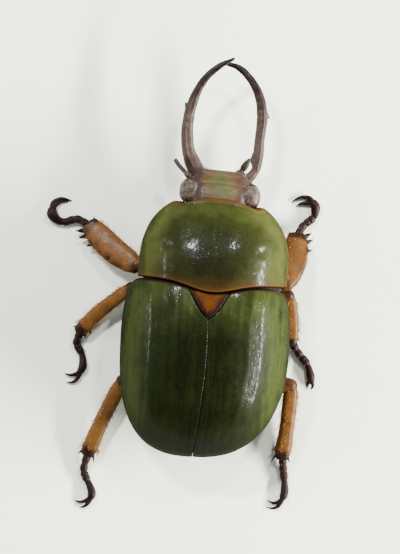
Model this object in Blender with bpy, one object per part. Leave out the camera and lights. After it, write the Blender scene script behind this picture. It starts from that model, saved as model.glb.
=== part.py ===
"""A male Fruhstorferia beetle, a dried specimen lying on its belly with its long jaws shut.

Run with: blender --background --python part.py
Named sizes are in millimetres and Z is up. The head points along +Y, and +X is the beetle's own right.
The origin is on the flat of the belly that rests on the floor, below the middle of the body.
Left and right legs differ, because each is set as it dried.
"""

import math

import bmesh
import bpy
from mathutils import Matrix, Vector

MM = 0.001
SEAM = 0.3  # the gap that neighbouring pieces keep
HALF_SEAM = SEAM / 2
SHELL = 0.6  # thickness of the wing cases, the scutellum and the neck shield

# The wing cases (elytra), as one dome that the suture parts
WIDEST_Y = -0.8
DOME_FRONT = 3.0
DOME_HALF_WIDTH = 5.8
DOME_REAR = 7.97  # from the widest place back to the tip
DOME_HEIGHT = 5.05  # from the side margin up to the top
PLAN_POWER = 2.55
PROFILE_POWER = 2.3
SECTION_POWER = 2.35
FRONT_NARROWING = 0.036
FRONT_LOWERING = 0.035
MARGIN_Z = 2.9
MARGIN_SLOPE = 0.05
SHOULDER_Y = 1.9
SHOULDER_DEPTH = 0.7
BUMP_HEIGHT = 0.16
SHOULDER_BUMP = (4.3, 1.7, 0.9)  # x, y and radius of the swelling at the shoulder
TIP_BUMP = (3.1, -6.4, 1.0)  # and of the one near the tip
TIP_ANGLE = math.radians(88)

# The scutellum, the small plate between the bases of the wing cases
SCUTELLUM_HALF_WIDTH = 1.31
SCUTELLUM_LENGTH = 1.65
SCUTELLUM_TIP_Y = 0.8
SCUTELLUM_POWER = 0.66
SCUTELLUM_BLUNT = 0.12
SLANT_SHARE = 0.8  # of the gap, measured along the middle because the scutellum's sides are slanted
SUTURE_LEAN = 0.18  # how far right the suture and the scutellum lie at the front of the wing cases
REAR_LEAN = 0.5  # how far left the whole hind body bends by its tip

# The neck shield (pronotum), in the prothorax's own frame
SHIELD_HALF_WIDTH = 5.08
SHIELD_WIDEST_Y = 4.6
SHIELD_TAPER = 4.75
SHIELD_PLAN_POWER = 2.3
SHIELD_SECTION_POWER = 2.2
SHIELD_TOP_Z = 7.5
SHIELD_TOP_Y = 4.0
SHIELD_FALL = 0.082  # of the top line, in front of its highest place
SHIELD_BACK_FALL = 0.1
SHIELD_MARGIN_Z = 3.1
SHIELD_MARGIN_SLOPE = 0.11
SHIELD_FRONT_Y = 9.08
SHIELD_CORNER_Y = 8.64
SHIELD_BACK_Y = 3.3
BACK_LOBE = 0.74  # how far the middle of the hind margin reaches back
BACK_LOBE_HALF_WIDTH = 2.2
FRONT_ARCH = 0.085
CORNER_X = 2.45
CORNER_WIDTH = 0.65
CORNER_REACH = 0.42

# The body under the wing cases, and the chest under the shield
UNDER_MARGIN = 0.2  # how far the underside stays inside the side margin
BELLY_DEPTH = 3.02
BELLY_POWER = 2.0
ABDOMEN_LIFT = 0.15  # how much shallower the abdomen is than the chest
LEAST_DEPTH = 0.8
BODY_FRONT_Y = 2.95
BODY_FRONT_INSET = 0.25  # how much narrower its back is there, to clear the shoulders
BODY_DROP = 1.0  # how far the front of the back is lowered, under the scutellum and the shield
BODY_DROP_Y = 1.7
BODY_DROP_LENGTH = 0.6
WAIST_Y = -2.75  # where the chest ends and the abdomen starts
BODY_REAR = 7.75
RING_EDGES = (-3.8, -4.7, -5.6, -6.5, -7.3)  # hind edges of the abdomen's rings
RING_STEP = 0.1
RING_EDGE = 0.03  # half the length of the step between two rings
TAIL_ROWS = (-7.9, -8.3)
RUMP_Y = -6.65  # where the rump plate (pygidium) starts, at its foot
RUMP_LEAN = math.radians(24)
CHEST_BACK_Y = 3.35
CHEST_FRONT_Y = 8.3
CHEST_LOW_Z = 0.7
CHEST_LOW_Y = 5.8
CHEST_KEEL = 0.06

# The pose of the front of the body, bent a little to the right
CHEST_SHIFT = 0.3
CHEST_YAW = math.radians(-2.0)
HEAD_YAW = math.radians(-1.5)
NECK_Y = 8.5

# The head: y, half width, top and bottom of its sections
HEAD_SECTIONS = (
    (8.65, 2.05, 4.45, 2.0),
    (9.4, 2.2, 4.35, 1.85),
    (10.1, 2.08, 4.1, 1.9),
    (10.5, 1.88, 3.95, 2.1),
    (11.05, 1.6, 3.6, 2.75),
)
HEAD_POWER = 2.7
EYE_CENTRE = Vector((2.05, 9.48, 3.35))
EYE_RADII = Vector((0.74, 0.78, 0.8))

# The jaws (mandibles) as they dried: x, y, z, half width and half thickness along each, then the root
# and the tip of the tooth on its outer edge
JAWS = {
    "left": (
        (-0.75, 10.3, 2.55, 0.5, 0.42),
        (-1.32, 11.25, 2.6, 0.58, 0.46),
        (-1.75, 12.25, 2.72, 0.46, 0.4),
        (-1.92, 13.4, 2.85, 0.43, 0.36),
        (-1.88, 14.5, 2.97, 0.4, 0.33),
        (-1.68, 15.5, 3.1, 0.36, 0.3),
        (-1.28, 16.6, 3.25, 0.3, 0.27),
        (-0.7, 17.5, 3.38, 0.26, 0.23),
        (0.15, 18.25, 3.48, 0.21, 0.19),
        (1.05, 18.76, 3.52, 0.1, 0.1),
    ),
    "right": (
        (1.95, 10.2, 2.55, 0.46, 0.42),
        (2.85, 11.15, 2.6, 0.38, 0.4),
        (3.05, 12.2, 2.7, 0.4, 0.38),
        (3.1, 13.4, 2.8, 0.36, 0.34),
        (3.2, 14.5, 2.85, 0.38, 0.32),
        (3.13, 15.5, 2.85, 0.36, 0.3),
        (2.84, 16.5, 2.82, 0.32, 0.27),
        (2.25, 17.45, 2.78, 0.27, 0.24),
        (1.4, 18.2, 2.74, 0.22, 0.2),
        (0.3, 18.48, 2.7, 0.1, 0.1),
    ),
}
JAW_TEETH = {
    "left": ((-1.86, 14.5, 3.05), (-2.15, 15.6, 3.08)),
    "right": ((3.14, 15.1, 2.85), (3.7, 14.8, 2.87)),
}
JAW_TOOTH_RADIUS = 0.36

# Each feeler's (antenna's) stalk and club, and the palps beside the lower lip. The right club lies
# under the jaw, and the left palp under the head.
STALKS = {
    "left": (
        (-1.35, 10.3, 3.1, 0.26, 0.26),
        (-1.6, 10.5, 3.3, 0.26, 0.26),
        (-1.8, 10.66, 3.35, 0.25, 0.25),
    ),
    "right": (
        (1.85, 10.2, 1.95, 0.26, 0.26),
        (2.36, 10.38, 1.62, 0.26, 0.26),
        (2.56, 10.64, 1.42, 0.25, 0.25),
    ),
}
CLUBS = {
    "left": (
        (-1.72, 10.6, 3.33, 0.19, 0.24),
        (-1.98, 10.86, 3.38, 0.25, 0.36),
        (-2.35, 11.22, 3.4, 0.25, 0.36),
        (-2.58, 11.52, 3.4, 0.2, 0.24),
    ),
    "right": (
        (2.48, 10.58, 1.44, 0.19, 0.24),
        (2.68, 10.86, 1.38, 0.25, 0.36),
        (2.88, 11.22, 1.38, 0.25, 0.36),
        (3.0, 11.55, 1.38, 0.2, 0.24),
    ),
}
PALPS = {
    "left": (
        (-0.65, 10.2, 1.95, 0.26, 0.26),
        (-0.75, 10.6, 1.6, 0.27, 0.27),
        (-0.7, 11.0, 1.45, 0.3, 0.27),
        (-0.6, 11.3, 1.45, 0.16, 0.16),
    ),
    "right": (
        (1.25, 10.2, 1.75, 0.26, 0.26),
        (1.5, 10.7, 1.4, 0.26, 0.26),
        (1.98, 11.1, 1.5, 0.25, 0.25),
        (2.25, 11.57, 1.6, 0.29, 0.27),
        (2.46, 11.9, 1.7, 0.15, 0.15),
    ),
}
LIP_CENTRE = Vector((0.0, 10.0, 1.55))
LIP_RADII = Vector((0.75, 0.85, 0.35))

# Shares along a leg piece, with its half width and half thickness there
COXA_RADII = {
    "fore": Vector((0.8, 0.68, 0.98)),
    "mid": Vector((0.95, 0.65, 0.8)),
    "hind": Vector((1.75, 0.6, 0.8)),
}
FEMUR_PROFILE = {
    "fore": ((0.0, 0.42, 0.42), (0.3, 0.72, 0.5), (0.65, 0.72, 0.5), (1.0, 0.5, 0.45)),
    "mid": ((0.0, 0.42, 0.4), (0.3, 0.72, 0.48), (0.65, 0.7, 0.5), (1.0, 0.46, 0.42)),
    "hind": ((0.0, 0.42, 0.4), (0.3, 0.85, 0.5), (0.65, 0.82, 0.52), (1.0, 0.5, 0.45)),
}
TIBIA_PROFILE = {
    "fore": ((0, 0.6, 0.42), (0.15, 0.8, 0.38), (0.45, 0.9, 0.36), (0.8, 0.86, 0.33), (1, 0.66, 0.3)),
    "mid": ((0, 0.4, 0.34), (0.2, 0.46, 0.37), (0.6, 0.5, 0.37), (0.9, 0.52, 0.36), (1, 0.46, 0.32)),
    "hind": ((0, 0.42, 0.36), (0.2, 0.52, 0.4), (0.6, 0.52, 0.4), (0.9, 0.55, 0.37), (1, 0.5, 0.33)),
}
TIBIA_BOW = {"fore": 0.2, "mid": 0.16, "hind": 0.08}
TIBIA_PAST_ANKLE = 0.12
# Teeth and spurs of a tibia: start and tip, each as millimetres past the ankle and out to the side,
# and the radius at the root. The outer side counts as positive.
TIBIA_SPINES = {
    "fore": (
        ((0.0, 0.35), (0.62, 0.94), 0.26),
        ((-0.4, 0.5), (0.13, 1.14), 0.26),
        ((-1.0, 0.6), (-0.66, 1.26), 0.24),
    ),
    "mid": (
        ((-0.12, 0.3), (0.3, 0.7), 0.15),
        ((-0.15, -0.28), (0.23, -0.8), 0.16),
        ((-0.5, -0.32), (-0.18, -0.84), 0.15),
    ),
    "hind": (
        ((-0.12, 0.3), (0.4, 0.76), 0.16),
        ((-0.15, -0.3), (0.5, -0.86), 0.17),
        ((-0.52, -0.36), (-0.12, -0.92), 0.16),
    ),
}
SPINE_LIFT = 0.02  # how far a tooth or a spur stays above the floor
JOINT_SHARES = (0.0, 0.13, 0.26, 0.38, 0.48, 1.0)  # where the five joints of a foot end
JOINT_BULGE = (0.15, 0.75)  # the part of a half wave that each joint's side follows: its start and length
FOOT_RADIUS = 0.27
FOOT_WAIST = 0.2
FOOT_HEIGHTS = (0.36, 0.27, 0.25, 0.25)
CLAW_RADIUS = 0.17
CLAW_HEIGHTS = (0.24, 0.2, 0.1)
CLAW_SIZES = (0.9, 1.0, 0.85, 0.6, 0.2)
LAST_JOINT_SWELL = {"fore_left": 1.3, "fore_right": 1.15}  # the fore feet end in stouter joints

# The legs as they dried: (x, y, z) of hip, knee and ankle, (x, y) along the foot, and one (x, y)
# route for each claw. A foot's last place is the root of its claws.
LEGS = {
    "fore_left": {
        "hip": (-0.85, 6.1, 0.93), "knee": (-5.02, 4.2, 1.55), "ankle": (-8.27, 6.77, 0.62),
        "foot": ((-9.25, 7.12), (-10.15, 6.96), (-10.88, 7.22), (-11.04, 7.75)),
        "claws": (
            ((-10.97, 8.3), (-10.4, 8.62), (-9.7, 8.5)),
            ((-10.88, 8.12), (-10.5, 8.42), (-9.95, 8.42)),
        ),
    },
    "fore_right": {
        "hip": (1.45, 6.1, 0.93), "knee": (5.35, 3.42, 2.3), "ankle": (6.0, 6.68, 0.68),
        "foot": ((6.42, 7.5), (7.02, 8.04), (7.28, 8.62), (7.04, 9.15)),
        "claws": (
            ((6.75, 9.48), (6.15, 9.5), (5.5, 9.12)),
            ((6.55, 9.1), (6.2, 9.05), (5.85, 8.85)),
        ),
    },
    "mid_left": {
        "hip": (-1.5, 1.35, 0.75), "knee": (-5.34, 2.62, 1.45), "ankle": (-8.6, -0.4, 0.62),
        "foot": ((-8.9, -1.33), (-8.58, -1.95), (-8.36, -2.65), (-8.5, -3.25)),
        "claws": (
            ((-8.85, -3.5), (-9.25, -3.6), (-9.65, -3.5)),
            ((-8.72, -3.8), (-9.05, -4.08), (-9.5, -4.12)),
        ),
    },
    "mid_right": {
        "hip": (1.5, 1.35, 0.75), "knee": (5.64, 2.62, 1.05), "ankle": (5.9, -0.5, 0.62),
        "foot": ((6.58, -1.4), (7.12, -2.0), (7.38, -2.6), (7.48, -3.15)),
        "claws": (
            ((7.6, -3.4), (7.6, -3.62), (7.45, -3.86)),
            ((7.32, -3.34), (7.25, -3.45), (7.12, -3.58)),
        ),
    },
    "hind_left": {
        "hip": (-1.0, -3.15, 0.75), "knee": (-5.6, -3.85, 1.35), "ankle": (-7.72, -8.8, 0.62),
        "foot": ((-7.98, -10.05), (-7.76, -10.75), (-7.4, -11.35), (-7.36, -11.95)),
        "claws": (
            ((-7.7, -12.22), (-8.1, -12.36), (-8.6, -12.26)),
            ((-7.55, -12.4), (-7.9, -12.7), (-8.3, -12.74)),
        ),
    },
    "hind_right": {
        "hip": (1.0, -3.15, 0.75), "knee": (6.1, -3.6, 1.35), "ankle": (5.72, -8.4, 0.62),
        "foot": ((5.86, -9.4), (5.94, -10.05), (6.04, -10.7), (5.95, -11.35)),
        "claws": (
            ((5.7, -11.65), (5.3, -11.8), (4.8, -11.6)),
            ((5.7, -11.92), (5.3, -12.17), (4.75, -12.12)),
        ),
    },
}
HIND_COXA = Vector((1.95, -2.15, 0.75))

# Facets
DOME_COLUMNS = 9
DOME_ROWS = 9
DOME_FRONT_ROWS = 8
SCUTELLUM_COLUMNS = 3
SCUTELLUM_ROWS = 5
SHIELD_COLUMNS = 18
SHIELD_ROWS = 9
BODY_COLUMNS = 8  # on a quarter of a section
BODY_FRONT_ROWS = 6
CHEST_ROWS = 7
HEAD_SIDES = 24
ELLIPSOID_SEGMENTS = 16
ELLIPSOID_RINGS = 10
LIMB_SIDES = 10
FOOT_SIDES = 8
FOOT_STEPS = 5
CLAW_SIDES = 6
CAP = ((0.0, 1.0), (0.35, 0.85), (0.75, 0.55))  # how far past a tube's end, and how wide, its cap is
SPINE_TIP = 0.2
FLOOR_SLAB = Vector((60, 60, 4))
ANGLE_STEPS = 12

PARTS = "fruhstorferia_beetle"
CUTTERS = "cutters"

COLOURS = {
    "green": ((0.045, 0.075, 0.014), 0.28),
    "brown": ((0.16, 0.06, 0.025), 0.35),
    "orange": ((0.36, 0.11, 0.02), 0.4),
    "dark": ((0.035, 0.012, 0.012), 0.3),
    "eye": ((0.09, 0.055, 0.045), 0.2),
}


def clear_scene():
    for obj in list(bpy.data.objects):
        bpy.data.objects.remove(obj)
    for name in (PARTS, CUTTERS):
        bpy.context.scene.collection.children.link(bpy.data.collections.new(name))


def make_material(name):
    colour, roughness = COLOURS[name]
    material = bpy.data.materials.new(name)
    material.use_nodes = True
    shader = material.node_tree.nodes["Principled BSDF"]
    shader.inputs["Base Color"].default_value = (*colour, 1.0)
    shader.inputs["Roughness"].default_value = roughness
    shader.inputs["Metallic"].default_value = 0.0
    return material


def smoothstep(value):
    share = min(1.0, max(0.0, value))
    return share * share * (3 - 2 * share)


def arc(half_width, height, angle, power):
    """A point (x, z) of a superellipse: angle 0 is at its side and 90 degrees at its top."""
    cosine, sine = math.cos(angle), math.sin(angle)
    x = half_width * math.copysign(abs(cosine) ** (2 / power), cosine)
    z = height * math.copysign(abs(sine) ** (2 / power), sine)
    return x, z


def mirrored(place):
    return Vector((-place[0], place[1], place[2]))


# Making objects

def new_object(name, bm, parent=None):
    """An object from a bmesh in millimetres, with its faces turned out and shaded smooth."""
    bmesh.ops.recalc_face_normals(bm, faces=bm.faces)
    bmesh.ops.scale(bm, vec=(MM, MM, MM), verts=bm.verts)
    mesh = bpy.data.meshes.new(name)
    bm.to_mesh(mesh)
    bm.free()
    mesh.shade_smooth()
    obj = bpy.data.objects.new(name, mesh)
    bpy.data.collections[PARTS].objects.link(obj)
    obj.parent = parent
    return obj


def loft(name, rings, parent=None):
    """One closed surface through rings of equal length, capped at both ends."""
    bm = bmesh.new()
    rows = [[bm.verts.new(point) for point in ring] for ring in rings]
    for low, high in zip(rows, rows[1:]):
        for i, corner in enumerate(low):
            j = (i + 1) % len(low)
            bm.faces.new((corner, low[j], high[j], high[i]))
    bm.faces.new(rows[0])
    bm.faces.new(rows[-1])
    return new_object(name, bm, parent)


def ellipsoid(name, centre, radii, parent=None, grow=0.0):
    bm = bmesh.new()
    bmesh.ops.create_uvsphere(bm, u_segments=ELLIPSOID_SEGMENTS, v_segments=ELLIPSOID_RINGS, radius=1.0)
    bmesh.ops.scale(bm, vec=radii + Vector((grow, grow, grow)), verts=bm.verts)
    bmesh.ops.translate(bm, vec=centre, verts=bm.verts)
    return new_object(name, bm, parent)


def smooth_path(places, steps):
    """Places read from a Catmull-Rom curve through the given ones, each a vector of any length."""
    ends = [2 * places[0] - places[1], *places, 2 * places[-1] - places[-2]]
    found = []
    for a, b, c, d in zip(ends, ends[1:], ends[2:], ends[3:]):
        square = 2 * a - 5 * b + 4 * c - d
        cube = 3 * b - 3 * c + d - a
        for step in range(steps):
            t = step / steps
            found.append(0.5 * (2 * b + (c - a) * t + square * t**2 + cube * t**3))
    found.append(places[-1].copy())
    return found


def tube(name, stations, sides, parent=None, grow=0.0):
    """A round-ended tube. A station is (place, half width level with the floor, half thickness)."""
    places = [station[0] for station in stations]
    first = (places[0] - places[1]).normalized()
    last = (places[-1] - places[-2]).normalized()
    rings = []
    for i, (place, half_width, half_thickness) in enumerate(stations):
        along = places[min(i + 1, len(places) - 1)] - places[max(i - 1, 0)]
        side = along.cross(Vector((0, 0, 1))).normalized()
        up = side.cross(along).normalized()
        sizes = CAP[:1]
        if i == 0:
            sizes = reversed(CAP)
        if i == len(stations) - 1:
            sizes = CAP
        outward = first if i == 0 else last
        for reach, share in sizes:
            ring = []
            for k in range(sides):
                angle = 2 * math.pi * (k + 0.5) / sides
                across = side * math.cos(angle) * (half_width * share + grow)
                rise = up * math.sin(angle) * (half_thickness * share + grow)
                ring.append(place + outward * reach * (half_thickness + grow) + across + rise)
            rings.append(ring)
    return loft(name, rings, parent)


def spine(name, root, tip, radius, parent=None):
    """A cone with a bluntly rounded tip, its root sunk in what carries it."""
    along = tip - root
    turn = Vector((0, 0, 1)).rotation_difference(along).to_matrix()
    sizes = {"radius1": radius, "radius2": radius * SPINE_TIP, "depth": along.length}
    bm = bmesh.new()
    bmesh.ops.create_cone(bm, cap_ends=True, segments=CLAW_SIDES, **sizes)
    bmesh.ops.rotate(bm, cent=(0, 0, 0), matrix=turn, verts=bm.verts)
    bmesh.ops.translate(bm, vec=(root + tip) / 2, verts=bm.verts)
    return new_object(name, bm, parent)


# Joining and cutting

def remove(objects):
    for obj in list(objects):
        bpy.data.objects.remove(obj)


def boolean(obj, others, operation):
    """Joins the others to obj, or cuts them from it, and applies the result.

    The others move to the cutters, where nothing else may be left, and the caller removes them.
    """
    cutters = bpy.data.collections[CUTTERS]
    for other in others:
        for collection in list(other.users_collection):
            collection.objects.unlink(other)
        cutters.objects.link(other)
    modifier = obj.modifiers.new(operation.lower(), "BOOLEAN")
    modifier.operation = operation
    modifier.operand_type = "COLLECTION"
    modifier.collection = cutters
    modifier.solver = "EXACT"
    graph = bpy.context.evaluated_depsgraph_get()
    mesh = bpy.data.meshes.new_from_object(obj.evaluated_get(graph))
    obj.modifiers.clear()
    obj.data = mesh


def keep_largest(obj):
    """Keeps the largest closed surface of obj, and drops scraps that a cut has left."""
    bm = bmesh.new()
    bm.from_mesh(obj.data)
    bmesh.ops.remove_doubles(bm, verts=bm.verts, dist=1e-7)
    left = set(bm.faces)
    shells = []
    while left:
        shell, edge = set(), [left.pop()]
        while edge:
            face = edge.pop()
            shell.add(face)
            for near in {f for e in face.edges for f in e.link_faces} & left:
                left.discard(near)
                edge.append(near)
        shells.append(shell)
    largest = max(shells, key=lambda shell: sum(face.calc_area() for face in shell))
    scraps = [face for face in bm.faces if face not in largest]
    bmesh.ops.delete(bm, geom=scraps, context="FACES")
    bm.to_mesh(obj.data)
    bm.free()


def fuse(name, pieces):
    """Joins a node's pieces into its first one, and removes the rest."""
    first, rest = pieces[0], pieces[1:]
    if rest:
        boolean(first, rest, "UNION")
        remove(rest)
    first.name = name
    return first


def cut(obj, cutters):
    """Cuts temporary pieces out of obj, and removes them."""
    boolean(obj, cutters, "DIFFERENCE")
    remove(cutters)
    keep_largest(obj)


def floor_cutter():
    """A slab just under the floor, for flats at floor level."""
    bm = bmesh.new()
    bmesh.ops.create_cube(bm, size=1.0)
    bmesh.ops.scale(bm, vec=FLOOR_SLAB, verts=bm.verts)
    bmesh.ops.translate(bm, vec=(0, 0, -FLOOR_SLAB.z / 2), verts=bm.verts)
    return new_object("floor_cutter", bm)


def keep_side(obj, place, normal):
    """Cuts obj by a plane, closes the cut, and drops the side that normal points to."""
    bm = bmesh.new()
    bm.from_mesh(obj.data)
    geometry = bm.verts[:] + bm.edges[:] + bm.faces[:]
    plane = {"plane_co": Vector(place) * MM, "plane_no": normal, "clear_outer": True}
    found = bmesh.ops.bisect_plane(bm, geom=geometry, dist=1e-8, **plane)["geom_cut"]
    edges = [item for item in found if isinstance(item, bmesh.types.BMEdge)]
    bmesh.ops.edgenet_fill(bm, edges=edges)
    bmesh.ops.recalc_face_normals(bm, faces=bm.faces)
    bm.to_mesh(obj.data)
    bm.free()


# The dome of the wing cases

def bump(x, y, place):
    bump_x, bump_y, radius = place
    far = ((abs(x) - bump_x) ** 2 + (y - bump_y) ** 2) / radius**2
    return BUMP_HEIGHT * math.exp(-far)


def back_margin(x):
    """Y of the shield's hind margin in its own frame, with its lobe over the scutellum."""
    return SHIELD_BACK_Y - BACK_LOBE * math.exp(-((x / BACK_LOBE_HALF_WIDTH) ** 2))


def dome_base(x):
    """Y of the front edge of the wing cases, which follows the shield as it is turned."""
    past = x - CHEST_SHIFT
    return back_margin(past) + math.tan(CHEST_YAW) * past - SEAM


def middle_x(y):
    """X of the suture, which leans to the right towards the front."""
    return SUTURE_LEAN * smoothstep((y - WIDEST_Y + DOME_REAR) / DOME_REAR)


def rear_x(y):
    """X of the middle of the hind body, which bends to the left behind its widest place."""
    return -REAR_LEAN * (max(0.0, WIDEST_Y - y) / DOME_REAR) ** 2


def dome_section(share, inset):
    """(y, half width, height) of the dome, from the base (-1) by the widest place (0) to the tip (1)."""
    if share > 0:
        angle = share * TIP_ANGLE
        along = math.sin(angle) ** (2 / PLAN_POWER)
        y = WIDEST_Y - (DOME_REAR - inset) * along
        half_width = (DOME_HALF_WIDTH - inset) * math.cos(angle) ** (2 / PLAN_POWER)
        height = (DOME_HEIGHT - inset) * (1 - along**PROFILE_POWER) ** (1 / PROFILE_POWER)
        return y, half_width, height
    y = WIDEST_Y + (DOME_FRONT - WIDEST_Y) * -share
    past = y - WIDEST_Y
    half_width = DOME_HALF_WIDTH - inset - FRONT_NARROWING * past**2
    round_off = max(0.0, (y - SHOULDER_Y) / (DOME_FRONT - SHOULDER_Y))
    half_width -= SHOULDER_DEPTH * (1 - math.sqrt(max(0.0, 1 - round_off**2)))
    height = DOME_HEIGHT - inset - FRONT_LOWERING * past**2
    return y, half_width, height


def dome_y(share, x):
    """Y of a row of the dome at x, where the front rows follow the base."""
    if share < 0:
        return WIDEST_Y + (dome_base(x) - WIDEST_Y) * -share
    return dome_section(share, 0.0)[0]


def dome_place(share, angle, inset, sign):
    """A point of the dome. The angle is 0 at the side margin and 90 degrees at the top, and sign is 1
    on the right.
    """
    y, half_width, height = dome_section(share, inset)
    x, z = arc(half_width, height, angle, SECTION_POWER)
    if share < 0:
        y = dome_y(share, sign * x)
    swell = 1 + (bump(x, y, SHOULDER_BUMP) + bump(x, y, TIP_BUMP)) / DOME_HEIGHT
    return Vector((sign * x + rear_x(y), y, margin_z(y) + z * swell))


def margin_z(y):
    return MARGIN_Z + MARGIN_SLOPE * y


def scutellum_half_width(y):
    share = (y - SCUTELLUM_TIP_Y) / SCUTELLUM_LENGTH
    return SCUTELLUM_HALF_WIDTH * max(0.0, share) ** SCUTELLUM_POWER


def inner_angle(share, inset, sign, gap):
    """The angle at which a wing case ends beside the suture or the scutellum.

    Where gap is 0, it is the angle at which the scutellum itself ends.
    """
    x = HALF_SEAM
    for _ in range(ANGLE_STEPS):
        y = dome_y(share, sign * x)
        beside = max(scutellum_half_width(y + SLANT_SHARE * gap) + gap / 2, SCUTELLUM_BLUNT / 2)
        x = (x + beside + sign * middle_x(y)) / 2
    across = min(1.0, abs(x) / dome_section(share, inset)[1]) ** (SECTION_POWER / 2)
    return math.acos(math.copysign(across, x))


def dome_shares():
    """Rows from the base to the tip, closer beside the scutellum."""
    front = [-1 + i / DOME_FRONT_ROWS for i in range(DOME_FRONT_ROWS)]
    rear = [i / DOME_ROWS for i in range(DOME_ROWS + 1)]
    return front + rear


def make_elytron(side, material):
    sign = 1 if side == "right" else -1
    rings = []
    for share in dome_shares():
        ring = []
        for inset in (0.0, SHELL):
            top = inner_angle(share, inset, sign, SEAM)
            angles = [top * (1 - i / DOME_COLUMNS) for i in range(DOME_COLUMNS + 1)]
            if inset:
                angles.reverse()
            ring += [dome_place(share, angle, inset, sign) for angle in angles]
        rings.append(ring)
    elytron = loft("elytron_" + side, rings)
    elytron.data.materials.append(material)


def make_scutellum(material):
    rings = []
    tip_y = SCUTELLUM_TIP_Y + SCUTELLUM_BLUNT
    tip_share = (tip_y - WIDEST_Y) / (dome_base(SUTURE_LEAN) - WIDEST_Y)
    for i in range(SCUTELLUM_ROWS + 1):
        share = -1 + (1 - tip_share) * i / SCUTELLUM_ROWS
        ring = []
        for inset in (0.0, SHELL):
            row = []
            for sign in (1, -1):
                top = inner_angle(share, inset, sign, 0.0)
                step = (math.pi / 2 - top) / SCUTELLUM_COLUMNS
                angles = [top + step * k for k in range(SCUTELLUM_COLUMNS + 1)]
                half = [dome_place(share, angle, inset, sign) for angle in angles]
                row += half if sign == 1 else list(reversed(half))[1:]
            ring += row if inset == 0 else list(reversed(row))
        rings.append(ring)
    scutellum = loft("scutellum", rings)
    scutellum.data.materials.append(material)


# The body under the dome

def body_section(share, drop):
    """The right half of a section of the body: its back, lowered by drop, and its flank and belly."""
    past = (dome_section(share, 0.0)[0] - SHOULDER_Y) / (DOME_FRONT - SHOULDER_Y)
    inner = SHELL + SEAM + BODY_FRONT_INSET * smoothstep(past)
    y, half_width, height = dome_section(share, inner)
    low_y = WIDEST_Y - BODY_REAR * (WIDEST_Y - y) / (DOME_REAR - inner) if share > 0 else y
    low_half_width = dome_section(share, UNDER_MARGIN)[1]
    along = max(0.0, (WIDEST_Y - low_y) / BODY_REAR)
    depth = BELLY_DEPTH * (1 - along**PROFILE_POWER) ** (1 / PROFILE_POWER)
    depth = max(depth - ABDOMEN_LIFT * smoothstep(WAIST_Y - low_y), LEAST_DEPTH)
    step = ring_step(low_y)
    back = []
    flank = []
    for i in range(BODY_COLUMNS + 1):
        angle = math.pi / 2 * i / BODY_COLUMNS
        x, z = arc(half_width, height - drop, angle, SECTION_POWER)
        back.append(Vector((x, y, margin_z(y) + (z if i else -SEAM))))
        x, z = arc(low_half_width - step, depth - step, angle, BELLY_POWER)
        flank.append(Vector((x, low_y, margin_z(low_y) - SEAM - z * (depth - SEAM) / depth)))
    return back, flank


def ring_step(y):
    """How far a ring of the abdomen is set in, from none at its hind edge to most at its front."""
    if y > WAIST_Y:
        return 0.0
    edges = (WAIST_Y, *RING_EDGES, WIDEST_Y - BODY_REAR)
    for front, back in zip(edges, edges[1:]):
        if y >= back:
            return RING_STEP * (y - back) / (front - back)
    return 0.0


def body_shares():
    """Sections of the body from front to rear, with two at the hind edge of each ring of the abdomen."""
    first = -(BODY_FRONT_Y - WIDEST_Y) / (DOME_FRONT - WIDEST_Y)
    front = [first * (1 - i / BODY_FRONT_ROWS) for i in range(BODY_FRONT_ROWS + 1)]
    places = [(WIDEST_Y + WAIST_Y) / 2, WAIST_Y]
    for edge in RING_EDGES:
        places += [edge + RING_EDGE, edge - RING_EDGE]
    places += TAIL_ROWS
    rear = []
    for y in places:
        along = (WIDEST_Y - y) / BODY_REAR
        rear.append(math.asin(along ** (PLAN_POWER / 2)) / TIP_ANGLE)
    return front + rear + [1.0]


def make_body():
    """The body under the wing cases, from which the chest, the abdomen and the rump plate are parted."""
    rings = []
    for share in body_shares():
        y = dome_section(share, 0.0)[0]
        drop = BODY_DROP * smoothstep((y - BODY_DROP_Y) / BODY_DROP_LENGTH)
        back, flank = body_section(share, drop)
        right = list(reversed(back)) + flank
        left = [mirrored(place) for place in reversed(right[1:-1])]
        rings.append([place + Vector((rear_x(place.y), 0, 0)) for place in right + left])
    return loft("body", rings)


def part_body(recesses, materials):
    """Parts the body by thin cuts, and clears the legs from it."""
    rump_normal = Vector((0, -math.cos(RUMP_LEAN), -math.sin(RUMP_LEAN)))
    spans = {
        "chest_underside": (((0, WAIST_Y + HALF_SEAM, 0), Vector((0, -1, 0))),),
        "abdomen": (
            ((0, WAIST_Y - HALF_SEAM, 0), Vector((0, 1, 0))),
            ((0, RUMP_Y, 0), rump_normal),
        ),
        "rump_plate": (((0, RUMP_Y - SEAM / math.cos(RUMP_LEAN), 0), -rump_normal),),
    }
    for name, planes in spans.items():
        piece = make_body()
        piece.name = name
        for place, normal in planes:
            keep_side(piece, place, normal)
        boolean(piece, recesses, "DIFFERENCE")
        keep_largest(piece)
        piece.data.materials.clear()
        piece.data.materials.append(materials["brown" if name != "rump_plate" else "green"])


# The prothorax

def shield_half_width(y):
    past = max(0.0, y - SHIELD_WIDEST_Y) / SHIELD_TAPER
    return SHIELD_HALF_WIDTH * (1 - past**SHIELD_PLAN_POWER) ** (1 / SHIELD_PLAN_POWER)


def shield_margin_z(y):
    return SHIELD_MARGIN_Z + SHIELD_MARGIN_SLOPE * (y - SHIELD_BACK_Y)


def shield_height(y):
    fall = SHIELD_FALL if y > SHIELD_TOP_Y else SHIELD_BACK_FALL
    return SHIELD_TOP_Z - fall * (y - SHIELD_TOP_Y) ** 2 - shield_margin_z(y)


def front_margin(x):
    """Y of the shield's front margin: an arch over the head between two corners that reach forward."""
    arch = SHIELD_FRONT_Y - FRONT_ARCH * x**2
    return arch + CORNER_REACH * smoothstep((abs(x) - CORNER_X) / CORNER_WIDTH)


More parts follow.
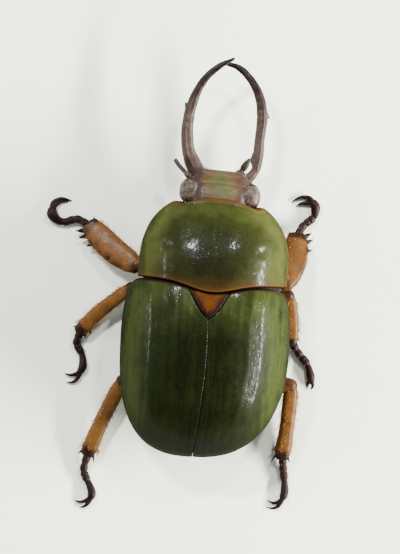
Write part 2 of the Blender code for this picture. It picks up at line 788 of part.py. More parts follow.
def shield_place(share, angle, inset):
    """A point of the shield. Share 0 is its hind margin, and the angle starts at its right side."""
    nominal = SHIELD_BACK_Y + (SHIELD_CORNER_Y - SHIELD_BACK_Y) * share
    half_width = shield_half_width(nominal) - inset
    x, _ = arc(half_width, 1.0, angle, SHIELD_SECTION_POWER)
    across = x / half_width
    back = back_margin(across * shield_half_width(SHIELD_BACK_Y))
    front = front_margin(across * shield_half_width(SHIELD_CORNER_Y))
    y = back + (front - back) * share
    _, z = arc(half_width, shield_height(y) - inset, angle, SHIELD_SECTION_POWER)
    return Vector((x, y, shield_margin_z(y) + z))


def make_shield(parent, material):
    rings = []
    for i in range(SHIELD_ROWS + 1):
        share = i / SHIELD_ROWS
        angles = [math.pi * k / SHIELD_COLUMNS for k in range(SHIELD_COLUMNS + 1)]
        outer = [shield_place(share, angle, 0.0) for angle in angles]
        inner = [shield_place(share, angle, SHELL) for angle in reversed(angles)]
        rings.append(outer + inner)
    shield = loft("pronotum", rings, parent)
    shield.data.materials.append(material)


def make_chest(parent, recesses, material):
    """The body of the prothorax, under the shield and down to the breast between the fore legs."""
    rings = []
    inner = SHELL + SEAM
    for i in range(CHEST_ROWS + 1):
        y = CHEST_BACK_Y + (CHEST_FRONT_Y - CHEST_BACK_Y) * i / CHEST_ROWS
        half_width = shield_half_width(y) - inner
        height = shield_height(y) - inner
        low_half_width = shield_half_width(y) - UNDER_MARGIN
        depth = shield_margin_z(y) - (CHEST_LOW_Z + CHEST_KEEL * (y - CHEST_LOW_Y) ** 2)
        angles = [math.pi / 2 * k / BODY_COLUMNS for k in range(BODY_COLUMNS + 1)]
        right = []
        for angle in reversed(angles):
            x, z = arc(half_width, height, angle, SHIELD_SECTION_POWER)
            right.append(Vector((x, y, shield_margin_z(y) + (z if angle else -SEAM))))
        for angle in angles:
            x, z = arc(low_half_width, depth - SEAM, angle, BELLY_POWER)
            right.append(Vector((x, y, shield_margin_z(y) - SEAM - z)))
        rings.append(right + [mirrored(place) for place in reversed(right[1:-1])])
    chest = loft("prothorax", rings, parent)
    boolean(chest, recesses, "DIFFERENCE")
    keep_largest(chest)
    chest.data.materials.clear()
    chest.data.materials.append(material)


# The head

def head_rings(grow):
    rings = []
    for i, (y, half_width, top, bottom) in enumerate(HEAD_SECTIONS):
        ends = {0: -grow, len(HEAD_SECTIONS) - 1: grow}
        middle, half_height = (top + bottom) / 2, (top - bottom) / 2
        ring = []
        for k in range(HEAD_SIDES):
            angle = 2 * math.pi * k / HEAD_SIDES
            x, z = arc(half_width + grow, half_height + grow, angle, HEAD_POWER)
            ring.append(Vector((x, y + ends.get(i, 0.0), middle + z)))
        rings.append(ring)
    return rings


def make_head(parent, materials):
    head = loft("head", head_rings(0.0), parent)
    sockets = []
    for side, turn in (("right", Vector), ("left", mirrored)):
        centre = turn(EYE_CENTRE)
        eye = ellipsoid("eye_" + side, centre, EYE_RADII, parent)
        eye.data.materials.append(materials["eye"])
        sockets.append(ellipsoid("socket", centre, EYE_RADII, parent, grow=SEAM))
    cut(head, sockets)
    head.data.materials.clear()
    head.data.materials.append(materials["brown"])


def stations_of(rows, steps):
    """Stations on a smooth curve through rows of (x, y, z, half width, half thickness)."""
    return [(row.to_3d(), row[3], row[4]) for row in smooth_path([Vector(row) for row in rows], steps)]


def head_clearances(parent):
    """Shapes a seam larger than the head and the eyes, to clear what grows beside them."""
    found = [loft("head_clearance", head_rings(SEAM), parent)]
    for turn in (Vector, mirrored):
        found.append(ellipsoid("eye_clearance", turn(EYE_CENTRE), EYE_RADII, parent, grow=SEAM))
    return found


def make_jaw(side, parent, material):
    """A jaw (mandible): a long sickle with one tooth outside, whose tip crosses the other's."""
    blade = tube("blade", stations_of(JAWS[side], 2), LIMB_SIDES)
    root, tip = (Vector(place) for place in JAW_TEETH[side])
    jaw = fuse("mandible_" + side, [blade, spine("tooth", root, tip, JAW_TOOTH_RADIUS)])
    cut(jaw, head_clearances(parent))
    jaw.data.materials.clear()
    jaw.data.materials.append(material)


def make_feeler(side, parent, material):
    """A feeler (antenna): a bent stalk that carries a closed club of leaves."""
    stalk = tube("stalk", stations_of(STALKS[side], 2), CLAW_SIDES)
    club = tube("club", stations_of(CLUBS[side], 2), FOOT_SIDES)
    feeler = fuse("antenna_" + side, [stalk, club])
    cut(feeler, head_clearances(parent))
    feeler.data.materials.clear()
    feeler.data.materials.append(material)


def make_mouth(parent, materials):
    """The lower lip, and a palp on each side."""
    lip = ellipsoid("labium", LIP_CENTRE, LIP_RADII, parent)
    cut(lip, [loft("head_clearance", head_rings(SEAM), parent)])
    lip.data.materials.clear()
    lip.data.materials.append(materials["brown"])
    for side, rows in PALPS.items():
        palp = tube("maxillary_palp_" + side, stations_of(rows, 2), FOOT_SIDES)
        lip_clearance = ellipsoid("lip_clearance", LIP_CENTRE, LIP_RADII, parent, grow=SEAM)
        cut(palp, [*head_clearances(parent), lip_clearance])
        palp.data.materials.clear()
        palp.data.materials.append(materials["dark"])


# The legs

def rank_of(leg):
    return leg.split("_")[0]


def straight_stations(start, end, profile, bow=0.0, past_end=0.0):
    """Stations from start to end, bowed to one side, for rows of (share, half width, half thickness)."""
    along = (end - start).normalized()
    side = along.cross(Vector((0, 0, 1))).normalized()
    found = []
    for share, half_width, half_thickness in profile:
        place = start.lerp(end, share) + side * bow * math.sin(math.pi * share)
        if share == 1.0:
            place += along * past_end
        found.append((place, half_width, half_thickness))
    return found


def outer_sign(leg):
    """1 where the outer side is on the right of the way from knee to ankle, and -1 on the left."""
    rank, side = leg.split("_")
    return 1 if (rank == "fore") == (side == "right") else -1


def coxa_centre(leg):
    if rank_of(leg) != "hind":
        return Vector(LEGS[leg]["hip"])
    return HIND_COXA if leg.endswith("right") else mirrored(HIND_COXA)


def coxa_piece(leg, grow=0.0):
    return ellipsoid("coxa_" + leg, coxa_centre(leg), COXA_RADII[rank_of(leg)], grow=grow)


def femur_piece(leg, grow=0.0):
    hip, knee = (Vector(LEGS[leg][key]) for key in ("hip", "knee"))
    stations = straight_stations(hip, knee, FEMUR_PROFILE[rank_of(leg)])
    return tube("femur_" + leg, stations, LIMB_SIDES, grow=grow)


def tibia_piece(leg, grow=0.0):
    knee, ankle = (Vector(LEGS[leg][key]) for key in ("knee", "ankle"))
    rank = rank_of(leg)
    bow = TIBIA_BOW[rank] * outer_sign(leg)
    stations = straight_stations(knee, ankle, TIBIA_PROFILE[rank], bow, TIBIA_PAST_ANKLE)
    return tube("tibia_" + leg, stations, LIMB_SIDES, grow=grow)


def tibia_spines(leg):
    knee, ankle = (Vector(LEGS[leg][key]) for key in ("knee", "ankle"))
    along = (ankle - knee).normalized()
    side = along.cross(Vector((0, 0, 1))).normalized() * outer_sign(leg)
    spines = []
    for start, tip, radius in TIBIA_SPINES[rank_of(leg)]:
        ends = [ankle + along * past + side * out for past, out in (start, tip)]
        for end in ends:
            end.z = max(end.z, radius + SPINE_LIFT)
        spines.append(spine("spine", *ends, radius))
    return spines


def foot_route(leg):
    """The middle of a foot, from the ankle down to the floor and along it."""
    pose = LEGS[leg]
    return [Vector(pose["ankle"])] + [Vector((*place, z)) for place, z in zip(pose["foot"], FOOT_HEIGHTS)]


def foot_radius(share, swell):
    """The radius along a foot, which widens in each of its five joints, and most in the last."""
    for start, end in zip(JOINT_SHARES, JOINT_SHARES[1:]):
        if share <= end:
            widest = FOOT_RADIUS * (swell if end == 1.0 else 1.0)
            within = (share - start) / (end - start)
            bulge = math.sin(math.pi * (JOINT_BULGE[0] + JOINT_BULGE[1] * within))
            return FOOT_WAIST + (widest - FOOT_WAIST) * bulge
    return FOOT_WAIST


def foot_pieces(leg):
    route = smooth_path(foot_route(leg), FOOT_STEPS)
    swell = LAST_JOINT_SWELL.get(leg, 1.0)
    stations = []
    for i, place in enumerate(route):
        radius = foot_radius(i / (len(route) - 1), swell)
        stations.append((place, radius, radius))
    pieces = [tube("foot", stations, FOOT_SIDES)]
    for claw in LEGS[leg]["claws"]:
        ends = [route[-3], route[-1]] + [Vector((*place, z)) for place, z in zip(claw, CLAW_HEIGHTS)]
        sizes = [CLAW_RADIUS * swell * size for size in CLAW_SIZES]
        rows = [(*end, size, size) for end, size in zip(ends, sizes)]
        pieces.append(tube("claw", stations_of(rows, 2), CLAW_SIDES))
    return pieces


def make_leg(leg, materials):
    """The four pieces of a leg, each cut to clear the one it grows from."""
    coxa = coxa_piece(leg)
    femur = femur_piece(leg)
    if rank_of(leg) == "hind":
        cut(coxa, [floor_cutter(), femur_piece(leg, grow=SEAM)])
        cut(femur, [floor_cutter()])
    else:
        cut(coxa, [floor_cutter()])
        cut(femur, [floor_cutter(), coxa_piece(leg, grow=SEAM)])
    tibia = fuse("tibia_" + leg, [tibia_piece(leg), *tibia_spines(leg)])
    cut(tibia, [floor_cutter(), femur_piece(leg, grow=SEAM)])
    foot = fuse("tarsus_" + leg, foot_pieces(leg))
    cut(foot, [floor_cutter(), tibia_piece(leg, grow=SEAM)])
    for piece, colour in ((coxa, "brown"), (femur, "orange"), (tibia, "orange"), (foot, "dark")):
        piece.data.materials.clear()
        piece.data.materials.append(materials[colour])


def leg_recesses(legs):
    """Shapes a seam larger than the upper leg pieces, to clear them from the underside."""
    found = []
    for leg in legs:
        found += [piece(leg, SEAM) for piece in (coxa_piece, femur_piece, tibia_piece)]
    return found


def make_pivot(name, y, yaw, shift=0.0):
    """An empty whose children turn about an upright axis through (0, y), and then shift to the right."""
    pivot = bpy.data.objects.new(name, None)
    bpy.data.collections[PARTS].objects.link(pivot)
    axis = Matrix.Translation((0, y * MM, 0))
    turn = axis @ Matrix.Rotation(yaw, 4, "Z") @ axis.inverted()
    pivot.matrix_world = Matrix.Translation((shift * MM, 0, 0)) @ turn
    return pivot


def main():
    clear_scene()
    materials = {name: make_material(name) for name in COLOURS}
    chest_pivot = make_pivot("chest_pivot", SHIELD_BACK_Y, CHEST_YAW, CHEST_SHIFT)
    neck_pivot = make_pivot("neck_pivot", NECK_Y, HEAD_YAW)
    neck_pivot.parent = chest_pivot
    bpy.context.view_layer.update()

    for side in ("left", "right"):
        make_elytron(side, materials["green"])
    make_scutellum(materials["orange"])
    make_shield(chest_pivot, materials["green"])

    recesses = leg_recesses(LEGS)
    floor = floor_cutter()
    part_body([*recesses, floor], materials)
    make_chest(chest_pivot, [*recesses, floor], materials["brown"])
    remove([*recesses, floor])

    make_head(neck_pivot, materials)
    for side in ("left", "right"):
        make_jaw(side, neck_pivot, materials["dark"])
        make_feeler(side, neck_pivot, materials["dark"])
    make_mouth(neck_pivot, materials)
    for leg in LEGS:
        make_leg(leg, materials)


main()
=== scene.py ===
"""Dresses a long-jawed leaf chafer, a dried male beetle that lies on its belly on a pale floor.

Shapes are worked out in millimetres, in the part's own frame: +Y is forward, +X is the beetle's right
and Z is up from the floor. They turn into metres when a mesh is made.
"""

import math
import random

import bmesh
import bpy
import numpy as np
from mathutils import Matrix, Vector, noise


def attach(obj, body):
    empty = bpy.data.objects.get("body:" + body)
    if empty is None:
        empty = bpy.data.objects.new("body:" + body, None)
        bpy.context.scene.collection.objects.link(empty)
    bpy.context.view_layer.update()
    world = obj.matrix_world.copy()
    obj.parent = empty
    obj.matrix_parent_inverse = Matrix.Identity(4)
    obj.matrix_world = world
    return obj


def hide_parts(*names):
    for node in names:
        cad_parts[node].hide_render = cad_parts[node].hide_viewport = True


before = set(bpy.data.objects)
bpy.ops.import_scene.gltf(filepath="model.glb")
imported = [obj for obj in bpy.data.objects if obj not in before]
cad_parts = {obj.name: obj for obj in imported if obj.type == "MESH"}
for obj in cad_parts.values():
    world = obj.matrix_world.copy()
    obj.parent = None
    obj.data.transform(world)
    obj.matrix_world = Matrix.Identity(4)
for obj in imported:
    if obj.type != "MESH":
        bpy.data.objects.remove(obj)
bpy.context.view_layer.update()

MM = 0.001
UP = Vector((0, 0, 1))
SIGNS = {"left": -1, "right": 1}
SEAM = 0.07  # gap behind the neck shield, narrower than between the solids
SUTURE = 0.02  # gap between the wing cases
SHELL = 0.5  # thickness of the wing cases, the scutellum and the neck shield
WELD = 0.034  # voxel that joins the pieces of a shin
HAIR_LIFT = 0.02  # how far a hair stays above the floor

# The wing cases and the scutellum
WIDEST_Y = -0.8
DOME_FRONT = 3.0
DOME_HALF_WIDTH = 5.8
DOME_REAR = 7.97
DOME_HEIGHT = 5.05
PLAN_POWER = 2.55
PROFILE_POWER = 2.3
SECTION_POWER = 2.35
FRONT_NARROWING = 0.036
FRONT_LOWERING = 0.035
MARGIN_Z = 2.9
MARGIN_SLOPE = 0.05
SHOULDER_Y = 1.9
SHOULDER_DEPTH = 0.7
BUMP_HEIGHT = 0.16
SHOULDER_BUMP = (4.3, 1.7, 0.9)
TIP_BUMP = (3.1, -6.4, 1.0)
TIP_ANGLE = math.radians(89.4)
SCUTELLUM_HALF_WIDTH = 1.31
SCUTELLUM_LENGTH = 1.65
SCUTELLUM_TIP_Y = 0.8
SCUTELLUM_POWER = 0.66
SCUTELLUM_BLUNT = 0.06
SCUTELLUM_RADIUS = 5.0
SUTURE_LEAN = 0.18
REAR_LEAN = 0.5
RIBS = (22, 38, 52, 64, 75)  # degrees up from the side margin
RIB_WIDTH = 2.6  # degrees
RIB_HEIGHT = 0.014
GROOVE_FROM_SUTURE = 0.42
GROOVE_WIDTH = 0.12
GROOVE_DEPTH = 0.02
CASE_RIM_WIDTH = 0.1
CASE_RIM_HEIGHT = 0.05
SUTURE_ROUNDING = 0.035
BASE_ROUNDING = 0.14
SIDE_ROUNDING = 0.12
CASE_ROWS_FRONT = 70
CASE_ROWS_REAR = 110
CASE_COLUMNS = 150
ANGLE_ROUNDS = 14  # steps in which the suture's place is closed in on

# The neck shield
SHIELD_HALF_WIDTH = 5.08
SHIELD_WIDEST_Y = 4.6
SHIELD_TAPER = 4.75
SHIELD_PLAN_POWER = 2.3
SHIELD_SECTION_POWER = 2.2
SHIELD_TOP_Z = 7.5
SHIELD_TOP_Y = 4.0
SHIELD_FALL = 0.082
SHIELD_REAR_FALL = 0.1
SHIELD_MARGIN_Z = 3.1
SHIELD_MARGIN_SLOPE = 0.11
SHIELD_FRONT_Y = 9.08
SHIELD_CORNER_Y = 8.64
SHIELD_BACK_Y = 3.3
SHIELD_LENGTH = 5.4
BACK_LOBE = 0.74
BACK_LOBE_HALF_WIDTH = 2.2
FRONT_ARCH = 0.085
CORNER_X = 2.45
CORNER_REACH = 0.42
RIM_WIDTH = 0.13
RIM_HEIGHT = 0.07
MOAT_DEPTH = 0.035  # of the furrow inside the rim
DIMPLE_DEPTH = 0.07
DIMPLE_PLACE = (3.3, 5.6)
MIDDLE_LINE_DEPTH = 0.02
SHIELD_ROWS = 150
SHIELD_COLUMNS = 260

# The pose of the front of the body
CHEST_SHIFT = 0.3
CHEST_YAW = math.radians(-2.0)
HEAD_YAW = math.radians(-1.5)
NECK_Y = 8.5

# The head: y, half width, top and bottom of its sections
HEAD_SECTIONS = (
    (8.65, 2.05, 4.45, 2.0),
    (9.1, 2.15, 4.42, 1.9),
    (9.6, 2.17, 4.3, 1.85),
    (10.0, 2.1, 4.15, 1.88),
    (10.3, 1.98, 4.02, 2.0),
    (10.65, 1.8, 3.86, 2.25),
    (10.95, 1.68, 3.65, 2.6),
    (11.05, 1.58, 3.5, 2.85),
)
HEAD_POWER = 2.7
EYE_CENTRE = Vector((2.05, 9.4, 3.35))
EYE_RADII = Vector((0.76, 0.83, 0.8))
EYE_POWER = 2.5
EYE_RIDGE = ((1.75, 10.42, 3.35), (2.1, 10.28, 3.4), (2.42, 10.1, 3.4), (2.52, 9.85, 3.38))

# x, y, z, half width and half thickness along each jaw, feeler and palp
JAWS = {
    "left": (
        (-0.75, 10.3, 2.55, 0.5, 0.42), (-1.32, 11.25, 2.6, 0.58, 0.46), (-1.75, 12.25, 2.72, 0.46, 0.4),
        (-1.92, 13.4, 2.85, 0.43, 0.36), (-1.88, 14.5, 2.97, 0.4, 0.33), (-1.68, 15.5, 3.1, 0.36, 0.3),
        (-1.28, 16.6, 3.25, 0.3, 0.27), (-0.7, 17.5, 3.38, 0.26, 0.23), (0.15, 18.25, 3.48, 0.21, 0.19),
        (1.05, 18.76, 3.52, 0.1, 0.1),
    ),
    "right": (
        (2.1, 10.2, 2.55, 0.42, 0.42), (2.9, 11.15, 2.6, 0.31, 0.37), (3.05, 12.2, 2.7, 0.38, 0.38),
        (3.1, 13.4, 2.8, 0.36, 0.34), (3.2, 14.5, 2.85, 0.38, 0.32), (3.13, 15.5, 2.85, 0.36, 0.3),
        (2.84, 16.5, 2.82, 0.32, 0.27), (2.25, 17.45, 2.78, 0.27, 0.24), (1.4, 18.2, 2.74, 0.22, 0.2),
        (0.3, 18.48, 2.7, 0.1, 0.1),
    ),
}
# Root and tip
JAW_TEETH = {
    "left": ((-1.86, 14.5, 3.05), (-2.15, 15.6, 3.08)),
    "right": ((3.14, 15.1, 2.85), (3.7, 14.8, 2.87)),
}
# Inward and forward of the jaw's third place, half width and half thickness
JAW_SWELLING = ((0.1, -0.75, 0.3, 0.3), (0.34, -0.35, 0.2, 0.2), (0.36, 0.1, 0.08, 0.1))
STALKS = {
    "left": (
        (-1.35, 10.3, 3.1, 0.26, 0.26), (-1.6, 10.5, 3.3, 0.22, 0.22), (-1.8, 10.66, 3.35, 0.2, 0.2),
    ),
    "right": (
        (1.85, 10.2, 1.95, 0.26, 0.26), (2.36, 10.38, 1.62, 0.22, 0.22), (2.56, 10.64, 1.42, 0.2, 0.2),
    ),
}
CLUBS = {
    "left": (
        (-1.72, 10.6, 3.33, 0.05, 0.2), (-1.98, 10.86, 3.38, 0.06, 0.36), (-2.35, 11.22, 3.4, 0.06, 0.36),
        (-2.58, 11.52, 3.4, 0.06, 0.2),
    ),
    "right": (
        (2.48, 10.58, 1.44, 0.06, 0.2), (2.68, 10.86, 1.38, 0.06, 0.36), (2.88, 11.22, 1.38, 0.06, 0.36),
        (3.0, 11.55, 1.38, 0.06, 0.2),
    ),
}
CLUB_LEAVES = (-0.085, 0.0, 0.085)  # how far each leaf lies beside its club's middle
# How many times as far they lie apart at each place along the club
CLUB_FANS = {"left": (1.0, 1.0, 1.0, 1.0), "right": (1.7, 1.6, 1.2, 0.6)}
PALPS = {
    "left": (
        (-0.65, 10.2, 1.95, 0.26, 0.26), (-0.75, 10.6, 1.6, 0.24, 0.24), (-0.7, 10.8, 1.45, 0.3, 0.27),
        (-0.6, 10.95, 1.45, 0.14, 0.14),
    ),
    "right": (
        (1.25, 10.2, 1.75, 0.26, 0.26), (1.5, 10.7, 1.4, 0.24, 0.24), (1.98, 11.1, 1.5, 0.23, 0.23),
        (2.25, 11.57, 1.6, 0.27, 0.24), (2.46, 11.9, 1.7, 0.13, 0.13),
    ),
}

# The legs: a profile gives shares of the length, each with a half width and a half thickness
FEMUR_PROFILE = {
    "fore": ((0.0, 0.42, 0.42), (0.3, 0.72, 0.5), (0.65, 0.72, 0.5), (1.0, 0.5, 0.45)),
    "mid": ((0.0, 0.42, 0.4), (0.3, 0.72, 0.48), (0.65, 0.7, 0.5), (1.0, 0.46, 0.42)),
    "hind": ((0.0, 0.42, 0.4), (0.3, 0.85, 0.5), (0.65, 0.82, 0.52), (1.0, 0.5, 0.45)),
}
TIBIA_PROFILE = {
    "fore": ((0, 0.6, 0.42), (0.15, 0.8, 0.38), (0.45, 0.9, 0.36), (0.8, 0.86, 0.33), (1, 0.66, 0.3)),
    "mid": ((0, 0.4, 0.34), (0.2, 0.46, 0.37), (0.6, 0.5, 0.37), (0.9, 0.52, 0.36), (1, 0.46, 0.32)),
    "hind": ((0, 0.42, 0.36), (0.2, 0.52, 0.4), (0.6, 0.52, 0.4), (0.9, 0.55, 0.37), (1, 0.5, 0.33)),
}
TIBIA_BOW = {"fore": 0.2, "mid": 0.16, "hind": 0.08}
TIBIA_PAST_ANKLE = 0.12
PEG_SHARES = (0.38, 0.66)
PEG_TURNS = (-0.5, 0.0, 0.5, 1.0)
# Teeth and spurs: start and tip, each as millimetres past the ankle and out to the side, and root radius
TIBIA_SPINES = {
    "fore": (
        ((0.0, 0.35), (0.62, 0.94), 0.26),
        ((-0.4, 0.5), (0.13, 1.14), 0.26),
        ((-1.0, 0.6), (-0.66, 1.26), 0.24),
        ((-0.1, -0.35), (0.38, -0.7), 0.11),
    ),
    "mid": (
        ((-0.12, 0.28), (0.36, 0.56), 0.13),
        ((-0.15, -0.28), (0.25, -0.66), 0.12),
        ((-0.5, -0.32), (-0.2, -0.76), 0.1),
        ((-0.1, -0.14), (0.36, -0.36), 0.07),
    ),
    "hind": (
        ((-0.12, 0.3), (0.52, 0.58), 0.14),
        ((-0.15, -0.3), (0.62, -0.7), 0.13),
        ((-0.52, -0.36), (-0.15, -0.82), 0.11),
        ((-0.1, -0.14), (0.55, -0.42), 0.09),
    ),
}
JOINT_SHARES = (0.0, 0.13, 0.26, 0.38, 0.48, 1.0)  # where a foot's joints meet
FOOT_RADIUS = 0.29
FOOT_WAIST = 0.17
FOOT_HEIGHTS = (0.36, 0.27, 0.25, 0.25)
CLAW_RADIUS = 0.15
LAST_JOINT_SWELL = {"fore_left": 1.28, "fore_right": 1.15}
CLAW_HEIGHTS = (0.24, 0.2, 0.1)
CLAW_TAPER = (0.9, 1.1, 0.95, 0.65, 0.16)
LEGS = {
    "fore_left": {
        "hip": (-0.85, 6.1, 0.93), "knee": (-5.02, 4.2, 1.55), "ankle": (-8.27, 6.77, 0.62),
        "foot": ((-9.25, 7.24), (-10.15, 7.0), (-10.88, 7.22), (-11.04, 7.75)),
        "claws": (
            ((-10.97, 8.3), (-10.4, 8.62), (-9.7, 8.5)),
            ((-10.88, 8.12), (-10.5, 8.42), (-9.95, 8.42)),
        ),
    },
    "fore_right": {
        "hip": (1.45, 6.1, 0.93), "knee": (5.35, 3.42, 2.3), "ankle": (6.0, 6.68, 0.68),
        "foot": ((6.42, 7.5), (7.02, 8.04), (7.28, 8.62), (7.04, 9.15)),
        "claws": (
            ((6.75, 9.48), (6.15, 9.5), (5.5, 9.12)),
            ((6.55, 9.1), (6.2, 9.05), (5.85, 8.85)),
        ),
    },
    "mid_left": {
        "hip": (-1.5, 1.35, 0.75), "knee": (-5.34, 2.62, 1.45), "ankle": (-8.6, -0.4, 0.62),
        "foot": ((-8.9, -1.33), (-8.58, -1.95), (-8.36, -2.65), (-8.5, -3.25)),
        "claws": (
            ((-8.85, -3.5), (-9.25, -3.6), (-9.65, -3.5)),
            ((-8.72, -3.8), (-9.05, -4.08), (-9.5, -4.12)),
        ),
    },
    "mid_right": {
        "hip": (1.5, 1.35, 0.75), "knee": (5.64, 2.62, 1.05), "ankle": (5.9, -0.5, 0.62),
        "foot": ((6.58, -1.4), (7.12, -2.0), (7.38, -2.6), (7.48, -3.15)),
        "claws": (
            ((7.6, -3.4), (7.6, -3.62), (7.45, -3.86)),
            ((7.32, -3.34), (7.25, -3.45), (7.12, -3.58)),
        ),
    },
    "hind_left": {
        "hip": (-1.0, -3.15, 0.75), "knee": (-5.6, -3.85, 1.35), "ankle": (-7.72, -8.8, 0.62),
        "foot": ((-7.98, -10.05), (-7.76, -10.75), (-7.4, -11.35), (-7.36, -11.95)),
        "claws": (
            ((-7.7, -12.22), (-8.1, -12.36), (-8.6, -12.26)),
            ((-7.55, -12.4), (-7.9, -12.7), (-8.3, -12.74)),
        ),
    },
    "hind_right": {
        "hip": (1.0, -3.15, 0.75), "knee": (6.1, -3.6, 1.35), "ankle": (5.72, -8.4, 0.62),
        "foot": ((5.86, -9.4), (5.94, -10.05), (6.04, -10.7), (5.95, -11.35)),
        "claws": (
            ((5.7, -11.65), (5.3, -11.8), (4.8, -11.6)),
            ((5.7, -11.92), (5.3, -12.17), (4.75, -12.12)),
        ),
    },
}

# Soft skins in the seams of the body: x, y, z, half width and half thickness
SOFT_SKINS = {
    "neck_skin": ((0.47, 8.1, 3.3, 1.7, 1.05), (0.5, 9.0, 3.25, 1.7, 1.05)),
    "collar_skin": (
        (0.24, 2.5, 4.05, 4.4, 2.55), (0.28, 3.1, 4.05, 4.72, 2.55), (0.3, 3.6, 4.05, 4.72, 2.55),
        (0.32, 4.1, 4.05, 4.4, 2.5),
    ),
    "waist_skin": ((0.0, -3.4, 3.9, 4.4, 2.2), (0.0, -2.6, 3.9, 4.5, 2.3), (0.0, -1.8, 3.9, 4.5, 2.3)),
}

# Hairs: their length and count
THIGH_HAIRS = (0.5, 70)
SHIN_HAIRS = (0.42, 260)
BODY_HAIRS = {
    "prothorax": (0.5, 420),
    "chest_underside": (0.55, 620),
    "abdomen": (0.4, 420),
    "rump_plate": (0.35, 90),
}
LEG_HAIR_RADIUS = 0.016
FOOT_HAIR_RADIUS = 0.018
BODY_HAIR_RADIUS = 0.015
MOUTH_HAIR_RADIUS = 0.014
LOWEST_TIP = 0.05  # hairs whose tips would come lower than this lie flatter
UV_SIZE = 0.003  # of a hair's patch in the unwrap
CAP_ANGLES = (0.0, 0.35, 0.75, 1.1, 1.4)  # rings that round off the ends of a tube

# The picture's frame
IMAGE_HEIGHT = 554
MM_PER_PIXEL = 0.069
VIEW_CENTRE = (-0.56, 3.63, 3.0)
VIEW_ROLL = math.radians(2.75)
VIEW_DISTANCE = 420.0
SENSOR = 36.0

# The lamps, in metres: place, width and length, watts and colour
LAMPS = (
    ("key", (0.21, -0.03, 0.092), (0.2, 0.016), 4.2, (1.0, 0.98, 0.93)),
    ("fill", (-0.21, 0.02, 0.08), (0.12, 0.02), 0.35, (0.96, 0.98, 1.0)),
    ("front", (-0.09, 0.13, 0.2), (0.04, 0.02), 1.0, (1.0, 1.0, 1.0)),
    ("corner", (0.075, 0.15, 0.2), (0.02, 0.02), 0.5, (1.0, 1.0, 1.0)),
)
LAMP_TARGET = (0, 0.003, 0.003)
FLOOR_SIZE = 0.6


# Materials

def linear(colour):
    """A colour given as it shows on a screen, 0 to 255, in linear light."""
    found = []
    for value in colour:
        share = value / 255
        found.append(share / 12.92 if share <= 0.04045 else ((share + 0.055) / 1.055) ** 2.4)
    return (*found, 1.0)


def darker(colour, share):
    return tuple(share * value for value in colour[:3]) + (1.0,)


class Nodes:
    """A material's node tree, with short calls for the nodes that these materials share."""

    def __init__(self, name):
        self.material = bpy.data.materials.new(name)
        self.material.use_nodes = True
        self.tree = self.material.node_tree
        self.shader = self.tree.nodes["Principled BSDF"]
        self.place = self.add("ShaderNodeTexCoord").outputs["Object"]

    def feed(self, socket, value):
        """Sets a socket to a number or a colour, or links another node's output to it."""
        if isinstance(value, (float, tuple)):
            socket.default_value = value
        else:
            self.tree.links.new(value, socket)

    def add(self, kind, inputs=None, **settings):
        node = self.tree.nodes.new(kind)
        for key, value in settings.items():
            setattr(node, key, value)
        for key, value in (inputs or {}).items():
            self.feed(node.inputs[key], value)
        return node

    def noise(self, scale, detail=4.0, roughness=0.55):
        """Noise with features about 1 / scale millimetres across."""
        inputs = {"Vector": self.place, "Scale": scale / MM, "Detail": detail, "Roughness": roughness}
        return self.add("ShaderNodeTexNoise", inputs).outputs["Fac"]

    def streaks(self, across, along):
        """Noise drawn out lengthwise: features 1 / across millimetres wide and 1 / along long."""
        scale = (across / MM, along / MM, along / MM)
        stretch = self.add("ShaderNodeMapping", {"Vector": self.place, "Scale": scale})
        inputs = {"Vector": stretch.outputs["Vector"], "Scale": 1.0, "Detail": 3.0}
        return self.add("ShaderNodeTexNoise", inputs).outputs["Fac"]

    def cells(self, scale, randomness=1.0):
        """Distance from the middles of cells about 1 / scale millimetres across."""
        inputs = {"Vector": self.place, "Scale": scale / MM, "Randomness": randomness}
        return self.add("ShaderNodeTexVoronoi", inputs, feature="F1").outputs["Distance"]

    def ramp(self, value, stops):
        """Colours along a value, whose last stop may lie past 1."""
        top = max(1.0, stops[-1][0])
        node = self.add("ShaderNodeValToRGB", {"Fac": self.math("DIVIDE", value, top)})
        elements = node.color_ramp.elements
        while len(elements) < len(stops):
            elements.new(0.5)
        for element, (place, colour) in zip(elements, stops):
            element.position = place / top
            element.color = colour
        return node.outputs["Color"]

    def level(self, value, low, high, out_low=0.0, out_high=1.0):
        """The value stretched from low and high to out_low and out_high, and held there beyond them."""
        ends = {"From Min": low, "From Max": high, "To Min": out_low, "To Max": out_high}
        return self.add("ShaderNodeMapRange", {"Value": value, **ends}).outputs["Result"]

    def mix(self, factor, a, b):
        node = self.add("ShaderNodeMix", data_type="RGBA")
        for key, value in (("Factor", factor), ("A", a), ("B", b)):
            sockets = [socket for socket in node.inputs if socket.name == key and socket.enabled]
            self.feed(sockets[0], value)
        return [socket for socket in node.outputs if socket.enabled][0]

    def math(self, operation, a, b):
        return self.add("ShaderNodeMath", {0: a, 1: b}, operation=operation).outputs[0]

    def attribute(self, name):
        return self.add("ShaderNodeAttribute", attribute_name=name).outputs["Fac"]

    def bump(self, height, strength, distance, before=None):
        """Normals for a height of up to that distance in millimetres, on top of those before it."""
        inputs = {"Strength": strength, "Distance": distance * MM, "Height": height}
        if before:
            inputs["Normal"] = before
        return self.add("ShaderNodeBump", inputs).outputs["Normal"]

    def finish(self, colour, roughness, **others):
        """The material, once its looks are tied to the shader's inputs of the same names."""
        looks = {"Base Color": colour, "Roughness": roughness, **others}
        for key, value in looks.items():
            self.feed(self.shader.inputs[key.replace("_", " ")], value)
        return self.material


def pitted(nodes, pits_per_mm, depth, wrinkle=0.3):
    """Normals of a shell pitted with small punctures over faint wrinkles."""
    pits = nodes.level(nodes.cells(pits_per_mm), 0.0, 0.32)
    wrinkles = nodes.bump(nodes.noise(1.3, 3.0), wrinkle, 0.05)
    return nodes.bump(pits, depth, 0.03, wrinkles)


